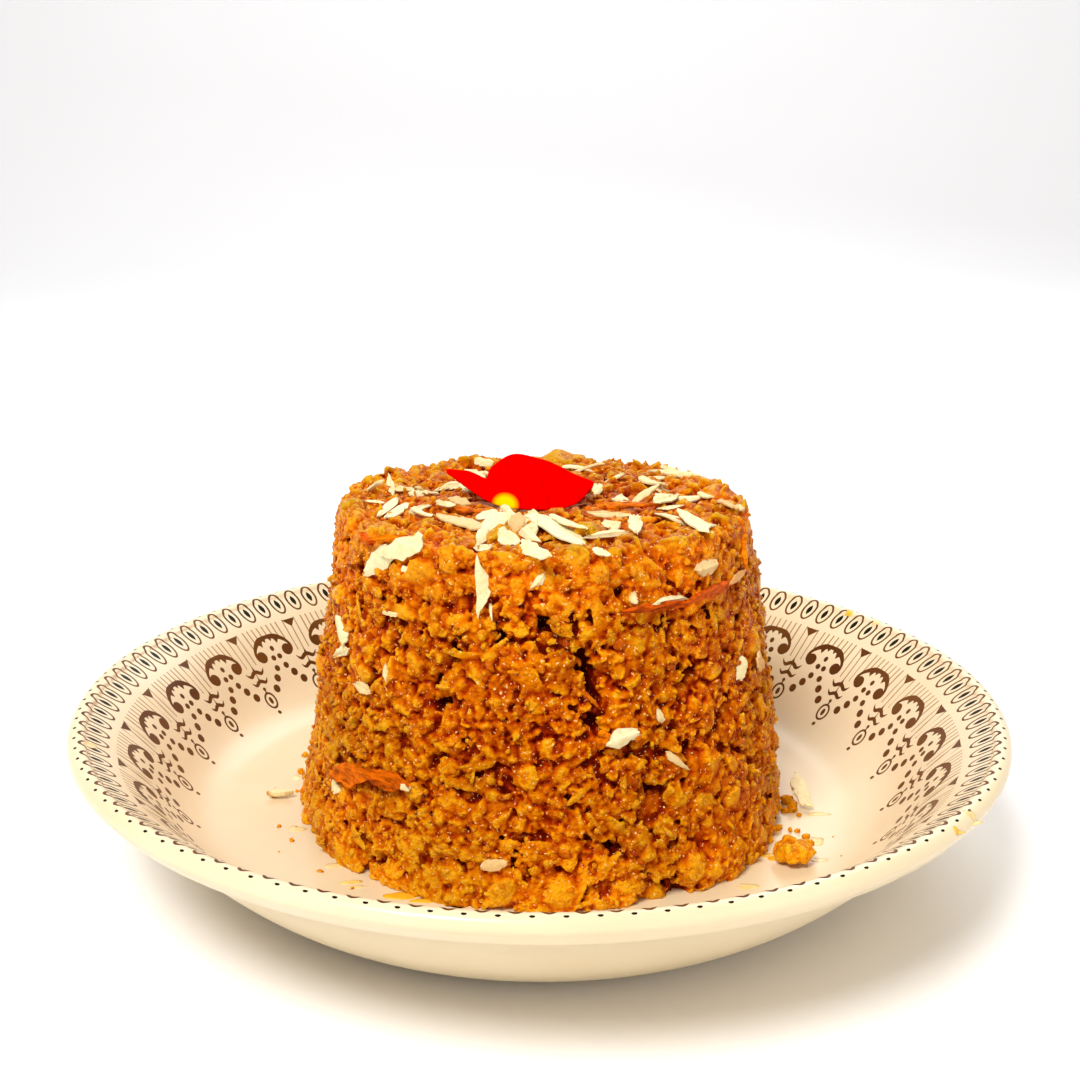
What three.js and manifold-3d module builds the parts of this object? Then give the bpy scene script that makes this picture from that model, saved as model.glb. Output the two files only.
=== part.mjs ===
// A shallow glazed bowl with a moulded mound of palkova, a grainy milk sweet, and its garnish.
// Millimetres, +Z up. The origin is the centre of the foot, on the surface that it stands on.

import * as THREE from 'three';
import { mergeVertices } from 'three/addons/utils/BufferGeometryUtils.js';
import Module from 'manifold-3d';

const wasm = await Module();
wasm.setup();

// Bowl: a lathed wall between two curves, with a rounded lip and a recessed foot.
const RIM_RADIUS = 80;
const LIP_TOP = 26.9;
const LIP_RADIUS = 1.65;
const LIP_START = THREE.MathUtils.degToRad(-50);
const LIP_END = THREE.MathUtils.degToRad(145);
const FLOOR_HEIGHT = 6.4;
const FOOT_RADIUS = 50;
const FOOT_WIDTH = 3.5;
const FOOT_RECESS = 2.4;
const OUTER_WALL = [[79.4, 23.2], [66.2, 14.7], [64.1, 5.7], [FOOT_RADIUS, 0]];
const INNER_WALL = [[77, 26], [62.4, 17.4], [65, FLOOR_HEIGHT], [51, FLOOR_HEIGHT]];
const BOWL_SEGMENTS = 80;
const LIP_STEPS = 5;
const WALL_STEPS = 7;

// Mound: a frustum turned out of a mould, with a crumbly face.
const GAP = 0.3;
const MOUND_BASE = FLOOR_HEIGHT + GAP;
const MOUND_TOP = 60.6;
const BASE_RADIUS = 42.4;
const TOP_RADIUS = 34.4;
const SIDE_BULGE = 0.8;
const BASE_ROUND = 2.6;
const TOP_ROUND = 2.4;
const MOUND_SEGMENTS = 92;
const SIDE_ROWS = 18;
const TOP_ROWS = 6;
const LUMP_SIZE = 7.2;
const LUMP_HEIGHT = 2.9;
const SWELL_SIZE = 16;
const SWELL_HEIGHT = 0.9;
const JOINT_SHARE = 0.62;

// Crevices where the curds part: azimuth in degrees, height, half width, half height, depth.
const CREVICES = [
  [282, 41, 2.0, 7.5, 5.2], [270, 49.8, 3.4, 1.8, 3.6], [246, 37.9, 2.0, 3.4, 3.8],
  [249, 46.4, 1.8, 3.0, 3.0], [295, 24.5, 1.9, 2.4, 3.8], [285, 15.8, 3.4, 2.2, 3.2],
  [289, 31.1, 2.0, 2.2, 3.0], [306, 39.8, 1.6, 2.6, 3.2], [305, 28.3, 1.7, 2.0, 2.8],
  [318, 33, 1.6, 2.2, 2.6], [299, 7.8, 4.0, 2.0, 3.0], [254, 12.6, 2.6, 1.8, 3.0],
  [230, 10.1, 2.4, 2.4, 3.2], [291, 56.0, 2.0, 2.2, 3.0], [303, 55.8, 2.2, 1.8, 3.0],
  [260, 48, 1.8, 2.4, 3.0], [96, 40, 2.4, 6.0, 4.2], [70, 22, 3.0, 2.4, 3.4],
  [120, 50, 3.0, 2.0, 3.2], [140, 17, 2.6, 2.4, 3.2], [32, 46, 2.2, 3.0, 3.2],
  [12, 26, 2.6, 2.6, 3.2], [170, 34, 2.2, 3.2, 3.2], [193, 16, 2.6, 2.0, 3.0],
];

// Broad hollows, where the side stands in a little, in the same form.
const HOLLOWS = [[190, 46, 26, 14, 1.6], [190, 22, 26, 12, 1.7]];

// Almond slices that break the surface: azimuth, height, length, width, thickness, roll, tilt.
const SLICE_EDGES = [
  [299, 51.8, 15, 4.4, 1.3, 7, 74], [322, 53.2, 15, 4.4, 1.2, 16, 76],
  [227, 22.0, 13, 5.0, 1.4, -12, 52], [287, 33.2, 7.5, 4.0, 1.9, 18, 40],
  [224, 56.4, 11, 4.6, 1.4, 18, 22], [110, 47, 13, 4.4, 1.3, -14, 66],
  [55, 28, 11, 4.4, 1.4, 24, 58],
];
const SLICE_BLUNT = 0.25;
const SLICE_SINK = 0.3;

// Flakes pressed into the side: azimuth, height, length, width, roll.
const SIDE_FLAKES = [
  [255.3, 55.2, 8.4, 2.9, 84], [211, 44, 6.6, 2.4, 72], [212, 40, 4.0, 2.6, 20],
  [223.6, 36.5, 4.6, 2.6, -40], [329, 37.8, 5.0, 2.4, 100], [260.4, 13.9, 4.4, 3.4, 12],
  [302.9, 27.4, 4.8, 2.0, -52], [269.8, 56.6, 4.6, 2.4, 62], [317.7, 55.8, 4.6, 2.4, 24],
  [232, 47.8, 4.0, 1.6, -10], [220, 33.1, 3.6, 2.2, 84], [293, 53.5, 4.6, 1.9, 80],
  [85, 52, 6.0, 2.6, 70], [130, 36, 4.6, 2.4, 30], [160, 48, 5.0, 2.2, -40],
  [20, 52, 4.8, 2.4, 60], [40, 18, 4.4, 2.6, -20], [185, 26, 4.4, 2.2, 50],
];

// Heaps of slivered flakes on the top: centre x, y, spread and count.
const TOP_HEAPS = [
  [-21, 6, 6, 6], [-8, -15, 7, 7], [4, -21, 7, 6], [16, -16, 7, 6],
  [25, -10, 4, 3], [-7, 14, 7, 4], [20, 12, 7, 3],
];
const FLAKE_LENGTH = [5, 9.5];
const FLAKE_WIDTH = [1.8, 3];
const FLAKE_THICKNESS = 1.2;
const FLAKE_BLUNT = 0.15;
const SIDE_FLAKE_TILT = 12;
const HEAP_TILT = [-24, 24];
const HEAP_LIFT = 0.7;

// Almond slices on the top: centre x, y, length, width and turn.
const BIG_SLICES = [[14.5, -4, 16, 3.2, 3], [-14, -14, 9, 4, -24]];
const BIG_SLICE = { thickness: 1.6, blunt: 0.2, tilt: 14, lift: 0.5 };

// Petal: one thin sheet between a front and a back edge, from the narrow wing to the broad tip.
const PETAL_FRONT = [
  [-16.2, 2, 65.6], [-12.4, -2, 63.6], [-8.9, -6, 62.3], [-6.0, -8.6, 62.0],
  [-2.0, -9.4, 61.9], [2.4, -9.2, 61.9], [6.0, -7, 62.4], [8.7, -3, 64.0],
];
const PETAL_BACK = [
  [-16.4, 3, 65.8], [-13, 3.4, 64.9], [-10.1, 3.2, 64.2], [-8.4, 3.2, 66.2],
  [-4.6, 3.2, 68.6], [0.2, 3.6, 66.9], [5, 3, 64.6], [8.9, -2, 64.2],
];
const PETAL_THICKNESS = 0.6;
const PETAL_DOME = 1.3;
const PETAL_WAVE = 0.35;
const PETAL_STEPS = [15, 5];

// What has fallen on to the floor of the bowl: place and size.
const CRUMB = { x: 41.8, y: -26.0, size: [3.6, 2.9, 2.2], flat: 0.6, relief: 0.28 };
const FALLEN_FLAKE = { x: 46.6, y: -3.5, length: 8.5, width: 3, thickness: 0.9, turn: 100, lean: 24 };
const SLIVER = { x: -46.2, y: -3.2, length: 4.6, width: 1.8, thickness: 1.3, turn: 8, lean: 0 };

const GLAZE = { color: 0xf7ecd6, roughness: 0.22, metalness: 0 };
const CURD = { color: 0xc2700f, roughness: 0.5, metalness: 0 };
const PETAL_RED = { color: 0xd80a06, roughness: 0.55, metalness: 0 };
const NUT = { color: 0xf3e2b8, roughness: 0.6, metalness: 0 };

// Seeded random numbers, so that every build is the same.
function randomFrom(seed) {
  let state = seed >>> 0;
  return () => {
    state = (state + 0x6d2b79f5) >>> 0;
    let mixed = Math.imul(state ^ (state >>> 15), state | 1);
    mixed ^= mixed + Math.imul(mixed ^ (mixed >>> 7), mixed | 61);
    return ((mixed ^ (mixed >>> 14)) >>> 0) / 4294967296;
  };
}

const between = (random, [low, high]) => low + (high - low) * random();
const radians = THREE.MathUtils.degToRad;

// One random number for a whole-numbered place in space.
function latticeValue(x, y, z, salt) {
  const hashed = Math.imul(x, 374761393) ^ Math.imul(y, 668265263) ^ Math.imul(z, 2147483647);
  return randomFrom(hashed + Math.imul(salt, 974711))();
}

// Smooth noise between -1 and 1 over a lattice of the given size.
function swell(point, size, salt) {
  const base = [point.x, point.y, point.z].map((value) => Math.floor(value / size));
  const part = [point.x, point.y, point.z].map((value, axis) => value / size - base[axis]);
  const eased = part.map((value) => value * value * (3 - 2 * value));
  let sum = 0;
  for (let corner = 0; corner < 8; corner++) {
    const step = [corner & 1, (corner >> 1) & 1, corner >> 2];
    const weight = step.reduce((all, on, axis) => all * (on ? eased[axis] : 1 - eased[axis]), 1);
    sum += weight * latticeValue(base[0] + step[0], base[1] + step[1], base[2] + step[2], salt);
  }
  return 2 * sum - 1;
}

// Rounded lumps of the given size: 1 on the crown of a lump, 0 in the joint between lumps.
function lumps(point, size, salt) {
  const base = [point.x, point.y, point.z].map((value) => Math.floor(value / size));
  let nearest = Infinity;
  for (let i = -1; i <= 1; i++) {
    for (let j = -1; j <= 1; j++) {
      for (let k = -1; k <= 1; k++) {
        const cell = [base[0] + i, base[1] + j, base[2] + k];
        const away = ['x', 'y', 'z'].map((axis, index) => {
          const jitter = latticeValue(cell[0], cell[1], cell[2], salt + index);
          return (cell[index] + jitter) * size - point[axis];
        });
        nearest = Math.min(nearest, Math.hypot(...away) / size);
      }
    }
  }
  return Math.max(0, 1 - nearest * nearest);
}

// A closed solid from a geometry, with its shared vertices merged.
function solidOf(geometry) {
  const bare = geometry.clone();
  for (const name of Object.keys(bare.attributes)) {
    if (name !== 'position') bare.deleteAttribute(name);
  }
  const merged = mergeVertices(bare, 1e-4);
  const vertProperties = new Float32Array(merged.attributes.position.array);
  const triVerts = [];
  const index = merged.index.array;
  for (let i = 0; i < index.length; i += 3) {
    const [a, b, c] = [index[i], index[i + 1], index[i + 2]];
    if (a !== b && b !== c && c !== a) triVerts.push(a, b, c);
  }
  return new wasm.Manifold(new wasm.Mesh({
    numProp: 3, vertProperties, triVerts: new Uint32Array(triVerts),
  }));
}

function geometryOf(solid) {
  const mesh = solid.getMesh();
  const geometry = new THREE.BufferGeometry();
  geometry.setAttribute('position', new THREE.BufferAttribute(mesh.vertProperties.slice(), 3));
  geometry.setIndex(new THREE.BufferAttribute(mesh.triVerts.slice(), 1));
  geometry.computeVertexNormals();
  return geometry;
}

function namedMesh(name, geometry, look) {
  const mesh = new THREE.Mesh(geometry, new THREE.MeshStandardMaterial(look));
  mesh.name = name;
  return mesh;
}

// The wall's section, from the floor's centre up over the lip and down to the foot's centre.
function makeBowl() {
  const toCurve = (points) => new THREE.CubicBezierCurve(
    ...points.map(([radius, height]) => new THREE.Vector2(radius, height)));
  const section = [new THREE.Vector2(0, FOOT_RECESS)];
  const recessEdge = FOOT_RADIUS - FOOT_WIDTH;
  section.push(new THREE.Vector2(recessEdge - FOOT_RECESS, FOOT_RECESS));
  section.push(new THREE.Vector2(recessEdge, 0));
  section.push(...toCurve(OUTER_WALL).getPoints(WALL_STEPS).reverse());
  for (let i = 0; i <= LIP_STEPS; i++) {
    const angle = THREE.MathUtils.lerp(LIP_START, LIP_END, i / LIP_STEPS);
    section.push(new THREE.Vector2(
      RIM_RADIUS - LIP_RADIUS + LIP_RADIUS * Math.cos(angle),
      LIP_TOP - LIP_RADIUS + LIP_RADIUS * Math.sin(angle)));
  }
  section.push(...toCurve(INNER_WALL).getPoints(WALL_STEPS).slice(1));
  section.push(new THREE.Vector2(0, FLOOR_HEIGHT));
  const lathe = new THREE.LatheGeometry(section, BOWL_SEGMENTS).rotateX(Math.PI / 2);
  return namedMesh('bowl', geometryOf(solidOf(lathe)), GLAZE);
}

// Radius of the side at a share of the way up.
function sideRadius(share) {
  return THREE.MathUtils.lerp(BASE_RADIUS, TOP_RADIUS, share) + SIDE_BULGE * 4 * share * (1 - share);
}

// The mound's plain section: base edge, side, top edge, top.
function moundSection() {
  const points = [];
  const sideLow = MOUND_BASE + BASE_ROUND;
  const sideHigh = MOUND_TOP - TOP_ROUND;
  points.push([BASE_RADIUS - BASE_ROUND, MOUND_BASE]);
  points.push([BASE_RADIUS - 0.3 * BASE_ROUND, MOUND_BASE + 0.3 * BASE_ROUND]);
  for (let row = 0; row <= SIDE_ROWS; row++) {
    const share = row / SIDE_ROWS;
    points.push([sideRadius(share), THREE.MathUtils.lerp(sideLow, sideHigh, share)]);
  }
  points.push([TOP_RADIUS - 0.3 * TOP_ROUND, MOUND_TOP - 0.3 * TOP_ROUND]);
  for (let row = 0; row < TOP_ROWS; row++) {
    points.push([(TOP_RADIUS - TOP_ROUND) * (1 - row / TOP_ROWS), MOUND_TOP]);
  }
  return points;
}

// How deep the given crevices or hollows are together at a place: azimuth in degrees.
function depthOf(dents, azimuth, radius, height) {
  let total = 0;
  for (const [at, level, halfWidth, halfHeight, depth] of dents) {
    const turn = THREE.MathUtils.euclideanModulo(azimuth - at + 180, 360) - 180;
    const across = (radians(turn) * radius) / halfWidth;
    const along = (height - level) / halfHeight;
    total += depth * Math.exp(-(across * across) - along * along);
  }
  return total;
}

// How far the crumbly face stands out from the plain section at a point.
function relief(point) {
  const azimuth = THREE.MathUtils.radToDeg(Math.atan2(point.y, point.x));
  const radius = Math.hypot(point.x, point.y);
  const lump = LUMP_HEIGHT * (lumps(point, LUMP_SIZE, 5) - JOINT_SHARE);
  const wide = SWELL_HEIGHT * swell(point, SWELL_SIZE, 40);
  return lump + wide - depthOf([...CREVICES, ...HOLLOWS], azimuth, radius, point.z);
}

function moundPoint(radius, height, azimuth, normal) {
  const plain = new THREE.Vector3(radius * Math.cos(azimuth), radius * Math.sin(azimuth), height);
  const outward = new THREE.Vector3(
    normal[0] * Math.cos(azimuth), normal[0] * Math.sin(azimuth), normal[1]);
  return plain.clone().addScaledVector(outward, relief(plain));
}

function makeCore() {
  const section = moundSection();
  const rows = section.length;
  const positions = [];
  const index = [];
  section.forEach(([radius, height], row) => {
    const before = section[Math.max(row - 1, 0)];
    const after = section[Math.min(row + 1, rows - 1)];
    const slope = new THREE.Vector2(after[0] - before[0], after[1] - before[1]).normalize();
    const normal = row === 0 ? [0, 0] : [slope.y, -slope.x];
    for (let i = 0; i < MOUND_SEGMENTS; i++) {
      const turn = ((i + (row % 2) / 2) / MOUND_SEGMENTS) * 2 * Math.PI;
      const point = moundPoint(radius, height, turn, normal);
      point.z = Math.max(point.z, MOUND_BASE);
      positions.push(...point.toArray());
    }
  });
  const low = positions.length / 3;
  positions.push(0, 0, MOUND_BASE, 0, 0, MOUND_TOP);
  for (let i = 0; i < MOUND_SEGMENTS; i++) {
    const next = (i + 1) % MOUND_SEGMENTS;
    index.push(low, next, i);
    for (let row = 0; row < rows - 1; row++) {
      const [a, b] = [row * MOUND_SEGMENTS + i, row * MOUND_SEGMENTS + next];
      const [c, d] = [a + MOUND_SEGMENTS, b + MOUND_SEGMENTS];
      if (row % 2) index.push(a, b, d, a, d, c);
      else index.push(a, b, c, b, d, c);
    }
    const last = (rows - 1) * MOUND_SEGMENTS;
    index.push(low + 1, last + i, last + next);
  }
  const geometry = new THREE.BufferGeometry();
  geometry.setAttribute('position', new THREE.Float32BufferAttribute(positions, 3));
  geometry.setIndex(index);
  return geometry;
}

// A thin chip with a pointed outline, lying in its own XY plane.
function chip(length, width, thickness, blunt) {
  const outline = new THREE.Shape();
  const half = length / 2;
  outline.moveTo(-half, -width * blunt);
  outline.lineTo(-half * 0.3, -width / 2);
  outline.lineTo(half * 0.5, -width * 0.42);
  outline.lineTo(half, width * blunt);
  outline.lineTo(half * 0.3, width / 2);
  outline.lineTo(-half * 0.7, width * 0.4);
  outline.closePath();
  const shape = new THREE.ExtrudeGeometry(outline, { depth: thickness, bevelEnabled: false });
  return shape.translate(0, 0, -thickness / 2);
}

// Lays a chip on the mound's side: its length runs level, then rolls and tilts.
function onSide(shape, azimuth, height, roll, tilt, sink) {
  const plain = sideRadius((height - MOUND_BASE) / (MOUND_TOP - MOUND_BASE));
  const radius = plain - depthOf(HOLLOWS, azimuth, plain, height);
  const place = new THREE.Matrix4().makeRotationZ(radians(azimuth) + Math.PI / 2);
  place.multiply(new THREE.Matrix4().makeTranslation(0, -(radius - sink), height));
  place.multiply(new THREE.Matrix4().makeRotationX(Math.PI / 2));
  place.multiply(new THREE.Matrix4().makeRotationZ(radians(roll)));
  place.multiply(new THREE.Matrix4().makeRotationX(radians(tilt)));
  return shape.applyMatrix4(place);
}

function onTop(shape, x, y, height, turn, tilt) {
  const place = new THREE.Matrix4().makeTranslation(x, y, height);
  place.multiply(new THREE.Matrix4().makeRotationZ(radians(turn)));
  place.multiply(new THREE.Matrix4().makeRotationX(radians(tilt)));
  return shape.applyMatrix4(place);
}

function garnish() {
  const random = randomFrom(20);
  const pieces = [];
  for (const [azimuth, height, length, width, thickness, roll, tilt] of SLICE_EDGES) {
    const shape = chip(length, width, thickness, SLICE_BLUNT);
    pieces.push(onSide(shape, azimuth, height, roll, tilt, SLICE_SINK));
  }
  for (const [azimuth, height, length, width, roll] of SIDE_FLAKES) {
    const shape = chip(length, width, FLAKE_THICKNESS, FLAKE_BLUNT);
    pieces.push(onSide(shape, azimuth, height, roll, SIDE_FLAKE_TILT, 0));
  }
  for (const [x, y, length, width, turn] of BIG_SLICES) {
    const shape = chip(length, width, BIG_SLICE.thickness, BIG_SLICE.blunt);
    pieces.push(onTop(shape, x, y, MOUND_TOP + BIG_SLICE.lift, turn, BIG_SLICE.tilt));
  }
  for (const [x, y, spread, count] of TOP_HEAPS) {
    for (let i = 0; i < count; i++) {
      const angle = 2 * Math.PI * random();
      const reach = spread * Math.sqrt(random());
      const [long, wide] = [between(random, FLAKE_LENGTH), between(random, FLAKE_WIDTH)];
      const shape = chip(long, wide, FLAKE_THICKNESS, FLAKE_BLUNT);
      const tilt = between(random, HEAP_TILT);
      const turn = 360 * random();
      const [atX, atY] = [x + reach * Math.cos(angle), y + reach * Math.sin(angle)];
      pieces.push(onTop(shape, atX, atY, MOUND_TOP + HEAP_LIFT, turn, tilt));
    }
  }
  return pieces;
}

// The petal as a sheet: edge to edge in one direction, wing to tip in the other.
function makePetalGeometry(thickness) {
  const toCurve = (points) => new THREE.CatmullRomCurve3(points.map((p) => new THREE.Vector3(...p)));
  const front = toCurve(PETAL_FRONT);
  const back = toCurve(PETAL_BACK);
  const [along, across] = PETAL_STEPS;
  const middle = [];
  for (let i = 0; i <= along; i++) {
    const s = i / along;
    for (let j = 0; j <= across; j++) {
      const t = j / across;
      const point = front.getPoint(s).lerp(back.getPoint(s), t);
      const dome = Math.sin(Math.PI * t) * Math.sin(Math.PI * s);
      point.z += PETAL_DOME * dome + PETAL_WAVE * Math.sin(9 * s) * t;
      point.y -= PETAL_DOME * dome * 0.6;
      middle.push(point);
    }
  }
  const at = (i, j) => middle[i * (across + 1) + j];
  const positions = [];
  for (const side of [0.5, -0.5]) {
    for (let i = 0; i <= along; i++) {
      for (let j = 0; j <= across; j++) {
        const run = at(Math.min(i + 1, along), j).clone().sub(at(Math.max(i - 1, 0), j));
        const cross = at(i, Math.min(j + 1, across)).clone().sub(at(i, Math.max(j - 1, 0)));
        const normal = run.cross(cross).normalize();
        positions.push(...at(i, j).clone().addScaledVector(normal, side * thickness).toArray());
      }
    }
  }
  const index = [];
  const layer = middle.length;
  const number = (i, j, lower) => i * (across + 1) + j + (lower ? layer : 0);
  for (let i = 0; i < along; i++) {
    for (let j = 0; j < across; j++) {
      const [a, b, c, d] = [[i, j], [i + 1, j], [i + 1, j + 1], [i, j + 1]];
      index.push(number(...a), number(...b), number(...c), number(...a), number(...c), number(...d));
      index.push(number(...a, true), number(...c, true), number(...b, true));
      index.push(number(...a, true), number(...d, true), number(...c, true));
    }
  }
  const wall = (a, b) => {
    index.push(number(...a), number(...a, true), number(...b, true));
    index.push(number(...a), number(...b, true), number(...b));
  };
  for (let i = 0; i < along; i++) {
    wall([i, 0], [i + 1, 0]);
    wall([i + 1, across], [i, across]);
  }
  for (let j = 0; j < across; j++) {
    wall([along, j], [along, j + 1]);
    wall([0, j + 1], [0, j]);
  }
  const geometry = new THREE.BufferGeometry();
  geometry.setAttribute('position', new THREE.Float32BufferAttribute(positions, 3));
  geometry.setIndex(index);
  return geometry;
}

// The mound with its flakes fused on, cut clear of the petal.
function makeMound() {
  const flakes = garnish().map((piece) => solidOf(piece));
  const whole = wasm.Manifold.union([solidOf(makeCore()), ...flakes]);
  const cut = whole.subtract(solidOf(makePetalGeometry(PETAL_THICKNESS + 2 * GAP)));
  const largest = cut.decompose().sort((a, b) => b.volume() - a.volume())[0];
  return namedMesh('palkova', geometryOf(largest), CURD);
}

function makePetal() {
  return namedMesh('petal', geometryOf(solidOf(makePetalGeometry(PETAL_THICKNESS))), PETAL_RED);
}

// A broken lump: a faceted ball pushed out by the same relief, flat where it lies.
function makeCrumb() {
  const ball = new THREE.IcosahedronGeometry(1, 3);
  const merged = mergeVertices(ball.deleteAttribute('normal').deleteAttribute('uv'), 1e-4);
  const place = merged.attributes.position;
  const point = new THREE.Vector3();
  for (let i = 0; i < place.count; i++) {
    point.fromBufferAttribute(place, i);
    const bump = 1 + CRUMB.relief * (lumps(point.clone().multiplyScalar(9), 7, 77) - JOINT_SHARE);
    point.multiplyScalar(bump).multiply(new THREE.Vector3(...CRUMB.size));
    const low = -CRUMB.flat * CRUMB.size[2];
    place.setXYZ(i, point.x + CRUMB.x, point.y + CRUMB.y, Math.max(point.z, low) - low + MOUND_BASE);
  }
  return namedMesh('fallen_crumb', geometryOf(solidOf(merged)), CURD);
}

function makeFallenChip(name, piece) {
  const shape = chip(piece.length, piece.width, piece.thickness, 0.2);
  shape.rotateY(radians(-piece.lean)).rotateZ(radians(piece.turn));
  shape.computeBoundingBox();
  shape.translate(piece.x, piece.y, MOUND_BASE - shape.boundingBox.min.z);
  return namedMesh(name, geometryOf(solidOf(shape)), NUT);
}

const bowlOfPalkova = new THREE.Group();
bowlOfPalkova.name = 'bowl_of_palkova';
bowlOfPalkova.add(makeBowl());
bowlOfPalkova.add(makeMound());
bowlOfPalkova.add(makePetal());
bowlOfPalkova.add(makeCrumb());
bowlOfPalkova.add(makeFallenChip('fallen_flake', FALLEN_FLAKE));
bowlOfPalkova.add(makeFallenChip('fallen_sliver', SLIVER));

export default bowlOfPalkova;
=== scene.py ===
"""A glazed bowl with a moulded mound of palkova, a grainy milk sweet, and its garnish.

Sizes are in millimetres and become metres where a mesh is made. Azimuths are in degrees from +X,
and the photograph looks along +Y.
"""

import math

import bpy
import numpy as np
from mathutils import Matrix, Vector
from mathutils.bvhtree import BVHTree
from mathutils.geometry import delaunay_2d_cdt


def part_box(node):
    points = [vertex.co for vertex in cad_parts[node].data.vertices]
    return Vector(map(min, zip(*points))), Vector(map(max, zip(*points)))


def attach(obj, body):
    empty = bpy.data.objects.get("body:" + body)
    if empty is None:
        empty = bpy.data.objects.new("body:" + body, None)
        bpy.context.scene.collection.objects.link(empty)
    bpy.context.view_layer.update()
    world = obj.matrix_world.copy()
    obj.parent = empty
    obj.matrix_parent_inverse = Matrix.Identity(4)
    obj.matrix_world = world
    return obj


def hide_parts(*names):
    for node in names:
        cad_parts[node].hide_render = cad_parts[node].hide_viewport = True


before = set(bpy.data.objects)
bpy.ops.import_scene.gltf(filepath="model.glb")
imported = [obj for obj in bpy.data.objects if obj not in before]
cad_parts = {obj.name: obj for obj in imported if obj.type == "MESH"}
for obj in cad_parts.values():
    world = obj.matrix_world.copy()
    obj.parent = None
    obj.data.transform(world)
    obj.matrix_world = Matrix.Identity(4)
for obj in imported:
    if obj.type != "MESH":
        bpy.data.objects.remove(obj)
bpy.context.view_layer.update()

MM = 0.001
CIRCLE = 2 * math.pi

# Camera: the photograph is square, and its pixels count from the upper left corner.
PHOTO_SIZE = 1080
FOCAL_PIXELS = 1432.67
SENSOR_WIDTH = 36.0
CAMERA_PLACE = np.array([-0.16, -238.13, 118.75])
CAMERA_PITCH = math.radians(15.289)
CAMERA_ROLL = math.radians(0.392)

# Lights: name, place, size, power, colour and what the light points at, in metres and watts.
LIGHTS = (
    ("key", (-0.28, -0.5, 0.8), 0.36, 8.2, (1.0, 0.98, 0.95), (0, 0, 0.03)),
    ("fill", (0.8, -0.6, 0.35), 0.7, 1.6, (1.0, 0.95, 0.88), (0, 0, 0.03)),
    ("back", (0.25, 0.75, 0.7), 0.6, 3.0, (1.0, 1.0, 1.0), (0, 0, 0.03)),
    ("backdrop", (0.0, 0.5, 1.7), 1.2, 16.0, (1.0, 1.0, 1.0), (0, 1.6, 1.5)),
)
AIR_COLOUR, AIR_STRENGTH = (1.0, 0.96, 0.91, 1), 0.42

# Studio floor in metres: reach in front, behind, sideways and up, and its cove.
FLOOR_FRONT, FLOOR_BACK, FLOOR_SIDE, FLOOR_WALL = -2.0, 1.6, 3.0, 2.4
COVE_RADIUS, COVE_STEPS = 0.6, 8

# Bowl, from the frame's box and the section of the solid.
BOWL_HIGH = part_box("bowl")[1]
RIM_RADIUS = BOWL_HIGH.x / MM
LIP_TOP = BOWL_HIGH.z / MM
LIP_RADIUS = 1.65
LIP_OUTER = math.radians(-50)
LIP_INNER = math.radians(145)
FLOOR_HEIGHT = 6.4
FOOT_RADIUS = 50.0
FOOT_WIDTH = 3.5
FOOT_RECESS = 2.4
OUTER_WALL = ((79.4, 23.2), (66.2, 14.7), (64.1, 5.7), (50.0, 0.0))
INNER_WALL = ((77.0, 26.0), (62.4, 17.4), (65.0, 6.4), (51.0, 6.4))
FLOOR_RINGS = (44, 36, 28, 20, 12, 5, 0)

# Printed border: mirrored half units, measured in from the lip's top along the glaze. It starts a
# little outside the lip's top.
UNITS = 29
BORDER_PHASE = math.radians(38.2)
BORDER_START = 0.9
BORDER_DEPTH = 26.8
MOTIF_RADIUS = 70.0
HALF_UNIT = math.pi * MOTIF_RADIUS / UNITS
HALF_UNIT_STEPS = 5
ROW_DEPTH = 0.9
BORDER_ANGLE = math.pi / 2 - BORDER_START / LIP_RADIUS
# The print's outer part lies further out at the front than at the back: depths and shares of the shift.
PRINT_SHIFT = 0.65
SHIFT_DEPTHS = (-0.9, -0.3, 0.44, 6.1, 9.0)
SHIFT_SHARES = (0.0, 0.3, 1.0, 0.2, 0.0)
GLAZE, INK, SLIT, PALE = 0, 1, 2, 3

# Mound, from the same sizes as its solid.
GAP = 0.3
MOUND_BASE = FLOOR_HEIGHT + GAP
MOUND_TOP = 60.6
BASE_RADIUS = 42.4
TOP_RADIUS = 34.4
SIDE_BULGE = 0.8
CORE_COLUMNS, CORE_ROWS, CORE_RINGS = 220, 64, 20
CORE_INSET = 1.15
CLUMP_SPACING = 1.9
CLUMP_GRAINS = 20
GRAIN_SPACING = 1.15
SHREDS = 130
CURD_VOXEL = 0.25
CURD_SHARE = 0.4
LOOSE_GRAINS = 9000
# How far the mould lets the skin stand out, and the share that is kept of what stands out further.
PRESSED_FROM = 0.2
PRESSED_SHARE = 0.5
# The petal presses the top flat: centre and half sizes of the place, and its height.
PETAL_BED, PETAL_BED_REACH, PETAL_BED_TOP = (-3.5, -3.0), (12.0, 6.4), MOUND_TOP + 0.3
HASH_PRIMES, HASH_CELLS = (73856093, 19349663, 83492791), 4096
# Where a line of sight can meet the mound's face, the usual distance to it, and the height that a
# flake is dropped from.
FACE_REACH, FACE_STEPS, SIDE_REACH, DROP = (160, 260), 2000, 205, 8
# Crumbs behind the mound: how many, and the radii of the ring that they lie in.
FAR_CRUMBS, CRUMB_RING = 26, (43.5, 47.5)
# Flakes show a hard edge where their faces meet at more than this.
SHARP_ANGLE = math.radians(38)

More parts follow.
